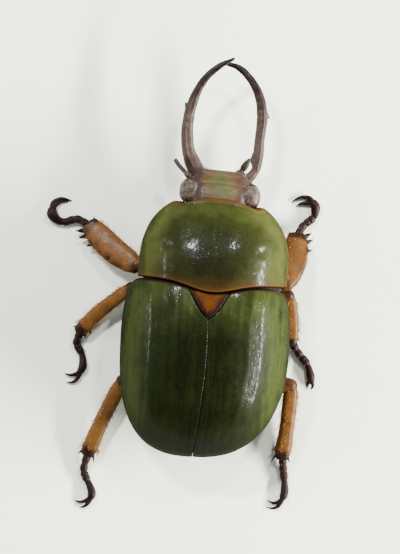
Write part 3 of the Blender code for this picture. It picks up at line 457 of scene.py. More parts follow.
def painted_pit_shade(nodes, colour, dark, pits_per_mm, low, high, share):
    """The colour, with up to that share of the dark one in the middle of each pit, as painted shade in the
    punctures.
    """
    return nodes.mix(nodes.level(nodes.cells(pits_per_mm), low, high, share, 0.0), colour, dark)


def green_shell(name, pits_per_mm, *colours, streaky=0.0):
    """Green chitin, darker on top, yellower to the sides, with a brown rim and a darker edge, and painted
    shade that darkens the far sides and the steep slopes.

    The five colours are dark, middle, light, rim and edge.
    """
    nodes = Nodes(name)
    dark, middle, light, rim, edge = (linear(colour) for colour in colours)
    border = nodes.attribute("rim")
    steep = nodes.attribute("steep")
    patches = nodes.level(nodes.noise(0.55, 5.0, 0.6), 0.3, 0.7, -0.16, 0.16)
    streaks = nodes.level(nodes.streaks(2.6, 0.12), 0.3, 0.7, -streaky, streaky)
    place = nodes.math("ADD", nodes.math("ADD", nodes.attribute("side"), patches), streaks)
    # Past the light colour the ramp turns darker again at the far sides: painted shade.
    colour = nodes.ramp(place, ((0.0, dark), (0.45, middle), (0.8, light), (1.05, darker(light, 0.3))))
    speckle = nodes.level(nodes.noise(8.0, 3.0, 0.7), 0.45, 0.75, 0.0, 0.4)
    colour = nodes.mix(speckle, colour, middle)
    # Painted shade in the middle of each pit.
    colour = painted_pit_shade(nodes, colour, dark, pits_per_mm, 0.06, 0.22, 0.7)
    border_colour = nodes.ramp(border, ((0.0, rim), (0.58, rim), (0.8, edge)))
    colour = nodes.mix(nodes.level(border, 0.0, 0.5), colour, border_colour)
    # Painted shade: steep slopes go towards the dark colour.
    colour = nodes.mix(nodes.level(steep, 0.5, 0.95, 0.0, 0.65), colour, dark)

    cloudy = nodes.level(nodes.noise(2.2, 4.0), 0.3, 0.75, 0.34, 0.46)
    on_slopes = nodes.level(steep, 0.2, 0.6, 0.0, 0.45)
    on_rims = nodes.level(border, 0.2, 0.8, 0.0, 0.25)
    roughness = nodes.math("ADD", cloudy, nodes.math("ADD", on_slopes, on_rims))
    flat = nodes.level(steep, 0.16, 0.36, 0.15, 0.0)
    grains = nodes.level(nodes.streaks(8.0, 3.0), 0.42, 0.6, 0.12, 1.0)
    off_rims = nodes.level(border, 0.1, 0.5, 1.0, 0.0)
    gloss = nodes.math("MULTIPLY", nodes.math("MULTIPLY", flat, grains), off_rims)
    normal = pitted(nodes, pits_per_mm, 0.3)
    return nodes.finish(
        colour, roughness, Normal=normal, Specular_IOR_Level=0.04,
        Coat_Weight=gloss, Coat_Normal=normal, Coat_Roughness=0.16,
    )


def brown_shell(name, dark, light, pits_per_mm=6.0, roughness=(0.3, 0.5), specular=0.25):
    """Brown chitin, with cloudy patches that follow no edge."""
    nodes = Nodes(name)
    dark, light = linear(dark), linear(light)
    patches = nodes.level(nodes.noise(0.9, 5.0, 0.6), 0.32, 0.68)
    colour = nodes.mix(patches, dark, light)
    # Painted shade in the middle of each pit.
    colour = painted_pit_shade(nodes, colour, darker(dark, 0.4), pits_per_mm, 0.05, 0.22, 0.8)
    shine = nodes.level(nodes.noise(3.0, 3.0), 0.3, 0.7, *roughness)
    normal = pitted(nodes, pits_per_mm, 0.4)
    return nodes.finish(colour, shine, Normal=normal, Specular_IOR_Level=specular)


def leg_shell(name, dark, light, specular):
    """Chitin of a light and a dark colour in patches, darker still where the attribute dark says so."""
    nodes = Nodes(name)
    dark, light = linear(dark), linear(light)
    patches = nodes.level(nodes.noise(1.4, 5.0, 0.65), 0.3, 0.7)
    shade = nodes.math("ADD", nodes.math("MULTIPLY", patches, 0.62), nodes.attribute("dark"))
    middle = tuple(0.5 * (a + b) for a, b in zip(dark, light))
    stops = ((0.0, light), (0.5, middle), (0.85, dark), (1.25, linear((11, 5, 5))))
    # Painted shade in the middle of each pit.
    colour = painted_pit_shade(nodes, nodes.ramp(shade, stops), dark, 5.0, 0.05, 0.25, 0.5)
    shine = nodes.level(nodes.noise(4.0, 3.0), 0.3, 0.7, 0.28, 0.46)
    return nodes.finish(colour, shine, Normal=pitted(nodes, 5.0, 0.4), Specular_IOR_Level=specular)


def eye_shell(name):
    """Mottled grey and brown over fine facets."""
    nodes = Nodes(name)
    facets = nodes.cells(11.0, 0.25)
    patches = nodes.level(nodes.noise(4.0, 5.0, 0.65), 0.38, 0.62)
    colour = nodes.mix(patches, linear((38, 28, 22)), linear((98, 82, 66)))
    colour = nodes.mix(nodes.level(facets, 0.25, 0.55, 0.0, 0.6), colour, linear((24, 16, 14)))
    uneven = nodes.bump(nodes.noise(3.0, 4.0), 0.5, 0.08)
    shine = nodes.level(nodes.noise(6.0, 3.0), 0.35, 0.65, 0.26, 0.5)
    normal = nodes.bump(facets, 0.5, 0.03, uneven)
    return nodes.finish(colour, shine, Normal=normal, Specular_IOR_Level=0.24)


def head_shell(name):
    """Olive along the middle, then brown, then a darker purple-brown beside the eyes."""
    nodes = Nodes(name)
    patches = nodes.level(nodes.noise(1.1, 5.0, 0.6), 0.3, 0.7, -0.16, 0.16)
    place = nodes.math("ADD", nodes.attribute("side"), patches)
    stops = (
        (0.0, (52, 54, 28)), (0.3, (58, 54, 28)), (0.46, (62, 45, 24)), (0.62, (50, 34, 27)),
        (1.0, (46, 32, 29)),
    )
    colour = nodes.ramp(place, [(share, linear(shade)) for share, shade in stops])
    # Painted shade in the middle of each pit.
    colour = painted_pit_shade(nodes, colour, linear((40, 22, 12)), 4.5, 0.06, 0.25, 0.75)
    shine = nodes.level(nodes.noise(3.0, 3.0), 0.3, 0.7, 0.34, 0.5)
    return nodes.finish(colour, shine, Normal=pitted(nodes, 4.5, 0.6, 0.5), Specular_IOR_Level=0.14)


def hair_shell(name, light, dark):
    nodes = Nodes(name)
    patches = nodes.level(nodes.noise(3.0, 2.0), 0.35, 0.65)
    colour = nodes.mix(patches, linear(light), linear(dark))
    return nodes.finish(colour, 0.42, Specular_IOR_Level=0.45)


# Meshes

def add_object(name, data):
    obj = bpy.data.objects.new(name, data)
    bpy.context.scene.collection.objects.link(obj)
    return obj


def to_object(name, verts, faces, material, scale=MM):
    mesh = bpy.data.meshes.new(name)
    mesh.from_pydata([tuple(v) for v in verts], [], faces)
    if scale != 1.0:
        mesh.transform(Matrix.Scale(scale, 4))
    mesh.shade_smooth()
    if material:
        mesh.materials.append(material)
    return add_object(name, mesh)


def turn_out(mesh):
    bm = bmesh.new()
    bm.from_mesh(mesh)
    bmesh.ops.recalc_face_normals(bm, faces=bm.faces)
    bm.to_mesh(mesh)
    bm.free()


def stands_for(obj, nodes):
    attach(obj, "root")
    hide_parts(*nodes)


def set_values(obj, name, values):
    layer = obj.data.attributes.new(name, "FLOAT", "POINT")
    layer.data.foreach_set("value", np.asarray(values, np.float32))


def set_shell_values(obj, sides, rims):
    """What green_shell reads: how far to the side, how near a rim and how steep each place is."""
    set_values(obj, "side", sides)
    set_values(obj, "rim", rims)
    set_values(obj, "steep", [1 - abs(v.normal.z) for v in obj.data.vertices])


def smoothstep(value):
    share = min(1.0, max(0.0, value))
    return share * share * (3 - 2 * share)


def bell(distance, width):
    """1 at no distance, about a third at the width, and near 0 at twice the width."""
    return math.exp(-((distance / width) ** 2))


def waves(place, broad, fine):
    """Faint unevenness of a shell, from two noises with that many features a millimetre."""
    return noise.noise(place * broad) * 0.02 + noise.noise(place * fine) * 0.006


def denser_at_ends(share):
    """Shares of a width, moved towards its ends, where a shell curves most."""
    return 0.5 * (share + 0.5 - 0.5 * math.cos(math.pi * share))


def arc(half_width, height, angle, power):
    """A place on an oval: an ellipse for a power of 2, and a fuller form for more."""
    cosine, sine = math.cos(angle), math.sin(angle)
    x = half_width * math.copysign(abs(cosine) ** (2 / power), cosine)
    z = height * math.copysign(abs(sine) ** (2 / power), sine)
    return x, z


def shell_faces(rows, columns):
    """Faces of two sheets of rows by columns points, one under the other, and of the edge between."""
    faces = []
    below = rows * columns
    for i in range(rows - 1):
        for j in range(columns - 1):
            a = i * columns + j
            quad = (a, a + 1, a + columns + 1, a + columns)
            faces += [quad, tuple(below + v for v in reversed(quad))]
    edge = [i * columns for i in range(rows)] + [(rows - 1) * columns + j for j in range(1, columns)]
    edge += [i * columns + columns - 1 for i in range(rows - 2, -1, -1)] + list(range(columns - 2, 0, -1))
    for a, b in zip(edge, edge[1:] + edge[:1]):
        faces.append((a, b, below + b, below + a))
    return faces


def rounding(distance, radius):
    """How far a sheet sinks at a distance from its edge, for an edge rounded to that radius."""
    if distance >= radius:
        return 0.0
    return radius - math.sqrt(max(0.0, radius**2 - (radius - distance) ** 2))


# The wing cases

def bump(x, y, place):
    bump_x, bump_y, radius = place
    return BUMP_HEIGHT * math.exp(-((abs(x) - bump_x) ** 2 + (y - bump_y) ** 2) / radius**2)


def back_margin(x):
    return SHIELD_BACK_Y - BACK_LOBE * bell(x, BACK_LOBE_HALF_WIDTH)


def dome_base(x):
    past = x - CHEST_SHIFT
    return back_margin(past) + math.tan(CHEST_YAW) * past - SEAM


def middle_x(y):
    return SUTURE_LEAN * smoothstep((y - WIDEST_Y + DOME_REAR) / DOME_REAR)


def rear_x(y):
    """X of the middle of the hind body, which bends to the left behind its widest place."""
    return -REAR_LEAN * (max(0.0, WIDEST_Y - y) / DOME_REAR) ** 2


def dome_section(share, inset):
    """Y, half width and height of a section: share is -1 at the base, 0 at the widest and 1 at the tip."""
    if share > 0:
        angle = share * TIP_ANGLE
        along = math.sin(angle) ** (2 / PLAN_POWER)
        y = WIDEST_Y - (DOME_REAR - inset) * along
        half_width = (DOME_HALF_WIDTH - inset) * math.cos(angle) ** (2 / PLAN_POWER)
        height = (DOME_HEIGHT - inset) * (1 - along**PROFILE_POWER) ** (1 / PROFILE_POWER)
        return y, half_width, height
    y = WIDEST_Y + (DOME_FRONT - WIDEST_Y) * -share
    past = y - WIDEST_Y
    half_width = DOME_HALF_WIDTH - inset - FRONT_NARROWING * past**2
    round_off = max(0.0, (y - SHOULDER_Y) / (DOME_FRONT - SHOULDER_Y))
    half_width -= SHOULDER_DEPTH * (1 - math.sqrt(max(0.0, 1 - round_off**2)))
    return y, half_width, DOME_HEIGHT - inset - FRONT_LOWERING * past**2


def dome_y(share, x):
    if share < 0:
        return WIDEST_Y + (dome_base(x) - WIDEST_Y) * -share
    return dome_section(share, 0.0)[0]


def dome_place(share, angle, inset, sign):
    """A place on the dome, angle up from its side margin, on the side that sign says."""
    y, half_width, height = dome_section(share, inset)
    x, z = arc(half_width, height, angle, SECTION_POWER)
    if share < 0:
        y = dome_y(share, sign * x)
    swell = 1 + (bump(x, y, SHOULDER_BUMP) + bump(x, y, TIP_BUMP)) / DOME_HEIGHT
    return Vector((sign * x + rear_x(y), y, MARGIN_Z + MARGIN_SLOPE * y + z * swell))


def scutellum_half_width(y):
    share = (y - SCUTELLUM_TIP_Y) / SCUTELLUM_LENGTH
    return SCUTELLUM_HALF_WIDTH * max(0.0, share) ** SCUTELLUM_POWER


def inner_angle(share, inset, sign, gap):
    """The angle up the dome at which a case ends, half a gap from the suture or the scutellum."""
    x = gap / 2
    for _ in range(ANGLE_ROUNDS):
        y = dome_y(share, sign * x)
        beside = max(scutellum_half_width(y + 0.8 * gap) + gap / 2, 0.0 if gap else SCUTELLUM_BLUNT / 2)
        x = (x + beside + sign * middle_x(y)) / 2
    across = min(1.0, abs(x) / dome_section(share, inset)[1]) ** (SECTION_POWER / 2)
    return math.acos(math.copysign(across, x))


def make_elytron(side, material):
    """A wing case, ribbed lengthwise, with a groove beside the suture and a rim along the side."""
    sign = SIGNS[side]
    shares = [-1 + i / CASE_ROWS_FRONT for i in range(CASE_ROWS_FRONT)]
    shares += [1 - (1 - i / CASE_ROWS_REAR) ** 1.15 for i in range(CASE_ROWS_REAR + 1)]
    outer, inner, side_values, rims = [], [], [], []
    for share in shares:
        top = inner_angle(share, 0.0, sign, SUTURE)
        top_inner = inner_angle(share, SHELL, sign, SUTURE)
        _, half_width, height = dome_section(share, 0.0)
        reach = math.hypot(half_width, height) * 0.78
        from_base = (share + 1) * (DOME_FRONT - WIDEST_Y)
        from_tip = (1 - share) * DOME_REAR * 1.2
        fade = smoothstep(from_base / 1.2) * smoothstep(from_tip / 3.0)
        for k in range(CASE_COLUMNS + 1):
            part = denser_at_ends(k / CASE_COLUMNS)
            angle = top * part
            from_suture = (top - angle) * reach
            from_side = angle * reach
            sink = rounding(from_suture, SUTURE_ROUNDING) + rounding(from_base, BASE_ROUNDING)
            sink += 0.6 * rounding(from_side, SIDE_ROUNDING)
            degrees = math.degrees(angle) * 90 / math.degrees(max(top, 0.2))
            rib = RIB_HEIGHT * sum(bell(degrees - crest, RIB_WIDTH) for crest in RIBS)
            groove = GROOVE_DEPTH * bell(from_suture - GROOVE_FROM_SUTURE, GROOVE_WIDTH)
            rim = CASE_RIM_HEIGHT * bell(from_side - CASE_RIM_WIDTH, CASE_RIM_WIDTH)
            place = dome_place(share, angle, 0.0, sign)
            lift = (rib - groove + waves(place, 0.75, 2.3)) * fade + rim - sink
            outer.append(dome_place(share, angle, -lift, sign))
            inner.append(dome_place(share, top_inner * part, SHELL, sign))
            outward = (abs(place.x - rear_x(place.y)) / DOME_HALF_WIDTH) ** 2.2
            pale_base = 0.5 * smoothstep((place.y + 1.2) / 3.0) * (1 - min(1.0, outward))
            side_values.append(outward + pale_base + 2.0 * rib)
            rims.append(min(1.0, 0.6 * bell(from_side, 0.15) + bell(from_base, 0.14)))
    faces = shell_faces(len(shares), CASE_COLUMNS + 1)
    obj = to_object("elytron_shell_" + side, outer + inner, faces, material)
    turn_out(obj.data)
    set_shell_values(obj, side_values + [0.2] * len(inner), rims + [1.0] * len(inner))
    stands_for(obj, ["elytron_" + side])


def scutellum_half(share, depth, sign, columns):
    """Places across one half of the scutellum, from its side to its middle, and how dark each is."""
    top = inner_angle(share, depth, sign, 0.0)
    found = []
    for k in range(columns + 1):
        angle = top + (math.pi / 2 - top) * k / columns
        beside = (angle - top) * SCUTELLUM_RADIUS
        sink = rounding(beside, 0.16) + rounding((share + 1) * 3.0, 0.12) + 0.02
        place = dome_place(share, angle, depth if depth else sink, sign)
        shade = 0.8 * bell(beside, 0.42) + 0.4 * smoothstep((1.6 - place.y) / 0.6)
        found.append((place, shade))
    return found


def make_scutellum(material):
    rows, columns = 40, 24
    tip_share = (SCUTELLUM_TIP_Y + 0.03 - WIDEST_Y) / (dome_base(SUTURE_LEAN) - WIDEST_Y)
    outer, inner = [], []
    for i in range(rows + 1):
        share = -1 + (1 - tip_share) * i / rows
        for depth, sheet in ((0.0, outer), (SHELL, inner)):
            right, left = (scutellum_half(share, depth, sign, columns) for sign in (1, -1))
            sheet += right + left[-2::-1]
    places = [place for place, _ in outer + inner]
    obj = to_object("scutellum_plate", places, shell_faces(rows + 1, 2 * columns + 1), material)
    set_values(obj, "dark", [shade for _, shade in outer + inner])
    turn_out(obj.data)
    stands_for(obj, ["scutellum"])


# The neck shield

def shield_half_width(y):
    past = max(0.0, y - SHIELD_WIDEST_Y) / SHIELD_TAPER
    return SHIELD_HALF_WIDTH * (1 - past**SHIELD_PLAN_POWER) ** (1 / SHIELD_PLAN_POWER)


def shield_margin_z(y):
    return SHIELD_MARGIN_Z + SHIELD_MARGIN_SLOPE * (y - SHIELD_BACK_Y)


def shield_height(y):
    fall = SHIELD_FALL if y > SHIELD_TOP_Y else SHIELD_REAR_FALL
    return SHIELD_TOP_Z - fall * (y - SHIELD_TOP_Y) ** 2 - shield_margin_z(y)


def front_margin(x):
    return SHIELD_FRONT_Y - FRONT_ARCH * x**2 + CORNER_REACH * smoothstep((abs(x) - CORNER_X) / 0.65)


def nominal_y(share):
    """Y before the margins' curves are added, with a share of 0 at the back and 1 at the front."""
    return SHIELD_BACK_Y + (SHIELD_CORNER_Y - SHIELD_BACK_Y) * share


def shield_place(share, angle, inset):
    half_width = shield_half_width(nominal_y(share)) - inset
    x, _ = arc(half_width, 1.0, angle, SHIELD_SECTION_POWER)
    across = x / half_width
    back = back_margin(across * shield_half_width(SHIELD_BACK_Y))
    front = front_margin(across * shield_half_width(SHIELD_CORNER_Y))
    y = back + (front - back) * share
    _, z = arc(half_width, shield_height(y) - inset, angle, SHIELD_SECTION_POWER)
    return Vector((x, y, shield_margin_z(y) + z))


def pose_of(y, yaw, shift=0.0):
    """A turn about an upright line at that y, then a shift to the right."""
    turn = Matrix.Translation((0, y, 0)) @ Matrix.Rotation(yaw, 4, "Z") @ Matrix.Translation((0, -y, 0))
    return Matrix.Translation((shift, 0, 0)) @ turn


CHEST_POSE = pose_of(SHIELD_BACK_Y, CHEST_YAW, CHEST_SHIFT)
HEAD_POSE = CHEST_POSE @ pose_of(NECK_Y, HEAD_YAW)


def make_shield(material):
    """The neck shield, with a raised bead along its sides and front and a faint line along its middle."""
    outer, inner, side_values, rims = [], [], [], []
    dimple_x, dimple_y = DIMPLE_PLACE
    for i in range(SHIELD_ROWS + 1):
        share = i / SHIELD_ROWS
        reach = math.hypot(shield_half_width(nominal_y(share)), shield_height(nominal_y(share))) * 0.8
        from_front = (1 - share) * SHIELD_LENGTH
        from_back = share * SHIELD_LENGTH
        for k in range(SHIELD_COLUMNS + 1):
            angle = math.pi * denser_at_ends(k / SHIELD_COLUMNS)
            place = shield_place(share, angle, 0.0)
            edge = min(min(angle, math.pi - angle) * reach, from_front)
            bead = RIM_HEIGHT * bell(edge - 0.09, RIM_WIDTH)
            moat = MOAT_DEPTH * bell(edge - 0.33, 0.12)
            hind = 0.03 * bell(from_back - 0.12, 0.12)
            dimple = (abs(place.x) - dimple_x) ** 2 + (place.y - dimple_y) ** 2
            dimple = DIMPLE_DEPTH * math.exp(-dimple / 0.2)
            line = MIDDLE_LINE_DEPTH * bell(place.x, 0.12) * smoothstep(from_back / 1.5)
            line *= smoothstep(from_front / 1.5)
            sink = rounding(min(edge, from_back), 0.12)
            lift = bead - moat + hind - dimple - line + waves(place, 0.9, 3.0) - sink
            outer.append(shield_place(share, angle, -lift))
            inner.append(shield_place(share, angle, SHELL))
            flat = abs(place.x) / SHIELD_HALF_WIDTH
            # Paler towards the front: partly the shield's own tone, partly a painted highlight.
            pale_front_and_highlight = 0.5 * smoothstep((place.y - 5.6) / 2.6) * (1 - 0.6 * flat)
            side_values.append(0.95 * flat**1.8 + pale_front_and_highlight)
            hind_edge = bell(from_back, 0.1) + 0.16 * bell(from_back, 0.4) + 0.05 * bell(from_back, 1.1)
            rims.append(min(1.0, 0.58 * bell(edge, 0.17) + hind_edge))
    verts = [CHEST_POSE @ place for place in outer + inner]
    obj = to_object("neck_shield", verts, shell_faces(SHIELD_ROWS + 1, SHIELD_COLUMNS + 1), material)
    turn_out(obj.data)
    set_shell_values(obj, side_values + [0.2] * len(inner), rims + [1.0] * len(inner))
    stands_for(obj, ["pronotum"])


# Round-ended tubes, joined and smoothed

def across(along):
    """Two directions across a line: level and to its right, and up."""
    side = along.cross(UP).normalized()
    return side, side.cross(along).normalized()


def around(side, up, turn):
    return side * math.cos(turn) + up * math.sin(turn)


def lifted(place, low):
    return Vector((place.x, place.y, max(place.z, low)))


def smooth_path(rows, steps):
    """Rows of numbers on a Catmull-Rom curve through the given ones."""
    rows = [np.array(row, float) for row in rows]
    ends = [2 * rows[0] - rows[1], *rows, 2 * rows[-1] - rows[-2]]
    found = []
    for a, b, c, d in zip(ends, ends[1:], ends[2:], ends[3:]):
        square, cube = 2 * a - 5 * b + 4 * c - d, 3 * b - 3 * c + d - a
        for step in range(steps):
            t = step / steps
            found.append(0.5 * (2 * b + (c - a) * t + square * t**2 + cube * t**3))
    found.append(rows[-1])
    return found


def ring_skin(rings):
    """Verts and faces of a skin over rings of equally many points, closed at both ends."""
    sides = len(rings[0])
    verts = [place for ring in rings for place in ring]
    faces = []
    for i in range(len(rings) - 1):
        for k in range(sides):
            j = (k + 1) % sides
            faces.append((i * sides + k, i * sides + j, (i + 1) * sides + j, (i + 1) * sides + k))
    last = (len(rings) - 1) * sides
    faces += [tuple(range(sides - 1, -1, -1)), tuple(range(last, last + sides))]
    return verts, faces


def tube(rows, steps=6, sides=20, power=2.0):
    """Verts and faces of a round-ended tube along rows of (x, y, z, half width, half thickness)."""
    rows = smooth_path(rows, steps)
    places = [Vector(row[:3]) for row in rows]
    rings = []
    for i, row in enumerate(rows):
        along = places[min(i + 1, len(places) - 1)] - places[max(i - 1, 0)]
        side, up = across(along)
        caps = [(0.0, 1.0)]
        if i == 0:
            caps = [(-math.sin(angle), math.cos(angle)) for angle in reversed(CAP_ANGLES)]
        if i == len(rows) - 1:
            caps = [(math.sin(angle), math.cos(angle)) for angle in CAP_ANGLES]
        for reach, share in caps:
            ring = []
            for k in range(sides):
                x, z = arc(row[3] * share, row[4] * share, 2 * math.pi * k / sides, power)
                ring.append(places[i] + along.normalized() * reach * row[4] + side * x + up * z)
            rings.append(ring)
    return ring_skin(rings)


def cone(root, tip, radius, sides, curl=0.0):
    """A curved spine from root to tip."""
    root, tip = Vector(root), Vector(tip)
    bend = (tip - root).cross(UP) * curl
    rows = []
    for t in (0.0, 0.3, 0.6, 0.85, 1.0):
        place = root.lerp(tip, t) + bend * math.sin(math.pi * t)
        size = radius * (1 - 0.86 * t**1.2)
        rows.append((*place, size, size))
    return tube(rows, 3, sides)


def welded(name, parts, material, voxel, smooth):
    """One skin over overlapping closed parts, which are in millimetres until then."""
    verts, faces = [], []
    for part_verts, part_faces in parts:
        start = len(verts)
        verts += part_verts
        faces += [tuple(start + v for v in face) for face in part_faces]
    obj = to_object(name, verts, faces, None, scale=1.0)
    turn_out(obj.data)
    weld(obj, material, voxel, smooth)
    return obj


def weld(obj, material, voxel, smooth):
    """Gives an object in millimetres a new skin, of faces as long as the voxel, and turns it to metres."""
    modifier = obj.modifiers.new("weld", "REMESH")
    modifier.mode = "VOXEL"
    modifier.voxel_size = voxel
    smoother = obj.modifiers.new("smooth", "SMOOTH")
    smoother.factor = 0.5
    smoother.iterations = smooth
    graph = bpy.context.evaluated_depsgraph_get()
    mesh = bpy.data.meshes.new_from_object(obj.evaluated_get(graph))
    obj.modifiers.clear()
    obj.data = mesh
    mesh.transform(Matrix.Scale(MM, 4))
    mesh.shade_smooth()
    mesh.materials.clear()
    mesh.materials.append(material)


def rough_up(obj, amount, scale):
    """Moves the surface in and out a little, by noise, and no lower than the floor."""
    normals = [v.normal.copy() for v in obj.data.vertices]
    for v, normal in zip(obj.data.vertices, normals):
        v.co += normal * noise.noise(v.co / MM * scale) * amount * MM
        v.co.z = max(v.co.z, 0.0)


def from_solid(name, node, material, voxel=0.09, smooth=6):
    """A finer, softer skin over a solid whose form is already right."""
    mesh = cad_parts[node].data.copy()
    mesh.transform(Matrix.Scale(1 / MM, 4))
    obj = add_object(name, mesh)
    weld(obj, material, voxel, smooth)
    rough_up(obj, 0.012, 1.6)
    count = len(obj.data.vertices)
    set_shell_values(obj, [0.25] * count, [0.0] * count)
    stands_for(obj, [node])


# The head

def head_relief(x, y, half_width):
    """Height of the ridges at the front and beside it, less the cross line and the hollow before it."""
    rim = 0.1 * bell(11.0 - y, 0.12)
    rim += 0.08 * bell(abs(x) - half_width, 0.14) * smoothstep((y - 10.1) / 0.3)
    cross_line = 0.06 * bell(y - 10.15 + 0.06 * x * x, 0.08)
    hollow = 0.09 * bell(y - 10.6, 0.28) * smoothstep((1.5 - abs(x)) / 0.5)
    return rim - cross_line - hollow


def make_head(material):
    """The head, with a ridge that runs out over the front of each eye."""
    sides = 96
    rings = []
    for y, half_width, top, bottom in smooth_path(HEAD_SECTIONS, 14):
        middle, half_height = (top + bottom) / 2, (top - bottom) / 2
        ring = []
        for k in range(sides):
            x, z = arc(half_width, half_height, 2 * math.pi * k / sides, HEAD_POWER)
            place = Vector((x, y, middle + z))
            if z > 0:
                place.z += head_relief(x, y, half_width) + noise.noise(place * 2.2) * 0.03
            ring.append(place)
        rings.append(ring)
    parts = [ring_skin(rings)]
    for sign in (1, -1):
        parts.append(tube([(sign * x, y, z, 0.13, 0.1) for x, y, z in EYE_RIDGE], 5, 14))
    head = welded("head_shell", parts, material, 0.05, 3)
    values = []
    for v in head.data.vertices:
        x, y, _ = v.co / MM
        dark_back = 0.28 * smoothstep((9.5 - y) / 0.8)
        values.append(abs(x) / 2.0 + dark_back + 0.12 * smoothstep((y - 10.5) / 0.4))
    set_values(head, "side", values)
    head.data.transform(Matrix.Scale(MM, 4) @ HEAD_POSE @ Matrix.Scale(1 / MM, 4))
    stands_for(head, ["head"])


def make_eye(side, material):
    """An eye, fuller than a ball."""
    bm = bmesh.new()
    bmesh.ops.create_uvsphere(bm, u_segments=96, v_segments=64, radius=1.0)
    for vert in bm.verts:
        size = sum(abs(value) ** EYE_POWER for value in vert.co) ** (-1 / EYE_POWER)
        vert.co = Vector([value * size * radius for value, radius in zip(vert.co, EYE_RADII)])
    centre = (SIGNS[side] * EYE_CENTRE.x, EYE_CENTRE.y, EYE_CENTRE.z)
    bmesh.ops.translate(bm, vec=centre, verts=bm.verts)
    bmesh.ops.transform(bm, matrix=HEAD_POSE, verts=bm.verts)
    bmesh.ops.scale(bm, vec=(MM, MM, MM), verts=bm.verts)
    mesh = bpy.data.meshes.new("eye_ball_" + side)
    bm.to_mesh(mesh)
    bm.free()
    mesh.shade_smooth()
    mesh.materials.append(material)
    stands_for(add_object("eye_ball_" + side, mesh), ["eye_" + side])


def make_jaw(side, material):
    """A jaw with its outer tooth, a ridge along its top and a low swelling inside its base."""
    rows = JAWS[side]
    inward = -SIGNS[side]
    ridge = []
    for x, y, z, wide, thick in rows[1:8]:
        ridge.append((x - 0.12 * inward, y, z + 0.72 * thick, wide * 0.3, thick * 0.4))
    x, y, z = rows[2][:3]
    swelling = [(x + out * inward, y + ahead, z, wide, thick) for out, ahead, wide, thick in JAW_SWELLING]
    root, tip = JAW_TEETH[side]
    tooth = cone(root, tip, 0.36, 18, 0.05 * inward)
    parts = [tube(rows, 8, 28, 2.3), tube(ridge, 8, 16), tooth, tube(swelling, 5, 14)]
    jaw = welded("jaw_" + side, parts, material, 0.035, 2)
    rough_up(jaw, 0.018, 2.4)
    values = [0.15 + 0.75 * smoothstep((v.co.y / MM - 13.0) / 6.0) for v in jaw.data.vertices]
    set_values(jaw, "dark", values)
    stands_for(jaw, ["mandible_" + side])


def make_feeler(side, material):
    """A feeler's stalk, and the leaves of its club, which fan out from one another."""
    parts = [tube(STALKS[side], 6, 16)]
    for offset in CLUB_LEAVES:
        leaf = []
        for (x, y, z, wide, thick), fan in zip(CLUBS[side], CLUB_FANS[side]):
            leaf.append((x + 0.8 * offset * fan, y - 0.75 * offset * fan * SIGNS[side], z, wide, thick))
        parts.append(tube(leaf, 6, 16))
    feeler = welded("feeler_" + side, parts, material, 0.03, 1)
    stands_for(feeler, ["antenna_" + side])


def make_palp(side, material):
    """A palp of short joints, each thinner at its root."""
    rows = PALPS[side]
    parts = []
    for a, b in zip(rows, rows[1:]):
        root = a[:3] + (a[3] * 0.75, a[4] * 0.75)
        middle = tuple((p + q) / 2 for p, q in zip(a, b))
        tip = b[:3] + (b[3] * 0.9, b[4] * 0.9)
        parts.append(tube([root, middle, tip], 5, 16))
    palp = welded("palp_" + side, parts, material, 0.04, 1)
    stands_for(palp, ["maxillary_palp_" + side])


def make_soft_joints(material):
    """Dark skin that closes the neck, the seam behind the neck shield and the waist."""
    for name, rows in SOFT_SKINS.items():
        skin = welded(name, [tube(rows, 4, 40, 2.1)], material, 0.12, 2)
        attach(skin, "root")


# The legs

def rank_of(leg):
    return leg.split("_")[0]


def outer_sign(leg):
    """Which side of a shin is its outer one: 1 is the right side, seen from the knee."""
    rank, side = leg.split("_")
    return 1 if (rank == "fore") == (side == "right") else -1


def bow_of(leg):
    return TIBIA_BOW[rank_of(leg)] * outer_sign(leg)


def limb_rows(start, end, profile, bow=0.0, past_end=0.0):
    """Rows for a tube: the profile gives shares of the length, with half widths and thicknesses."""
    along = (end - start).normalized()
    side, _ = across(along)
    rows = []
    for share, half_width, half_thickness in profile:
        place = start.lerp(end, share) + side * bow * math.sin(math.pi * share)
        if share == 1.0:
            place += along * past_end
        rows.append((*place, half_width, half_thickness))
    return rows


def make_femur(leg, material):
    """A thigh, darker towards the knee and a little at the hip."""
    hip, knee = (Vector(LEGS[leg][key]) for key in ("hip", "knee"))
    rows = limb_rows(hip, knee, FEMUR_PROFILE[rank_of(leg)])
    femur = welded("thigh_" + leg, [tube(rows, 8, 28, 2.2)], material, 0.06, 3)
    rough_up(femur, 0.012, 2.0)
    length = (knee - hip).length
    along = (knee - hip) / length
    values = []
    for v in femur.data.vertices:
        share = (v.co / MM - hip).dot(along) / length
        dark_knee = smoothstep((share - 0.86) / (1.3 - 0.86))
        values.append(0.15 + dark_knee + 0.25 * smoothstep((0.1 - share) / 0.15))
    set_values(femur, "dark", values)
    stands_for(femur, ["femur_" + leg])


def pegs(knee, ankle, side, up, wide, thick):
    """Two groups of short pegs on a shin's outer edge."""
    along = (ankle - knee).normalized()
    length = (ankle - knee).length
    found = []
    for share in PEG_SHARES:
        for turn in PEG_TURNS:
            root = knee + along * length * share + side * wide * 0.8 * math.cos(turn)
            root += up * thick * 0.8 * math.sin(turn)
            tip = root + around(side, up, turn) * 0.16 + along * 0.2
            found.append(cone(root, tip, 0.055, 8))
    return found


def tooth_shade(place, teeth):
    """How dark a place is for being near the tip of a tooth or spur."""
    shade = 0.0
    for root, tip, depth in teeth:
        t = min(1.0, max(0.0, (place - root).dot(tip - root) / (tip - root).length_squared))
        near = 1 - smoothstep(((place - root.lerp(tip, t)).length - 0.2) / 0.16)
        shade = max(shade, depth * near * smoothstep((t - 0.25) / 0.4))
    return shade


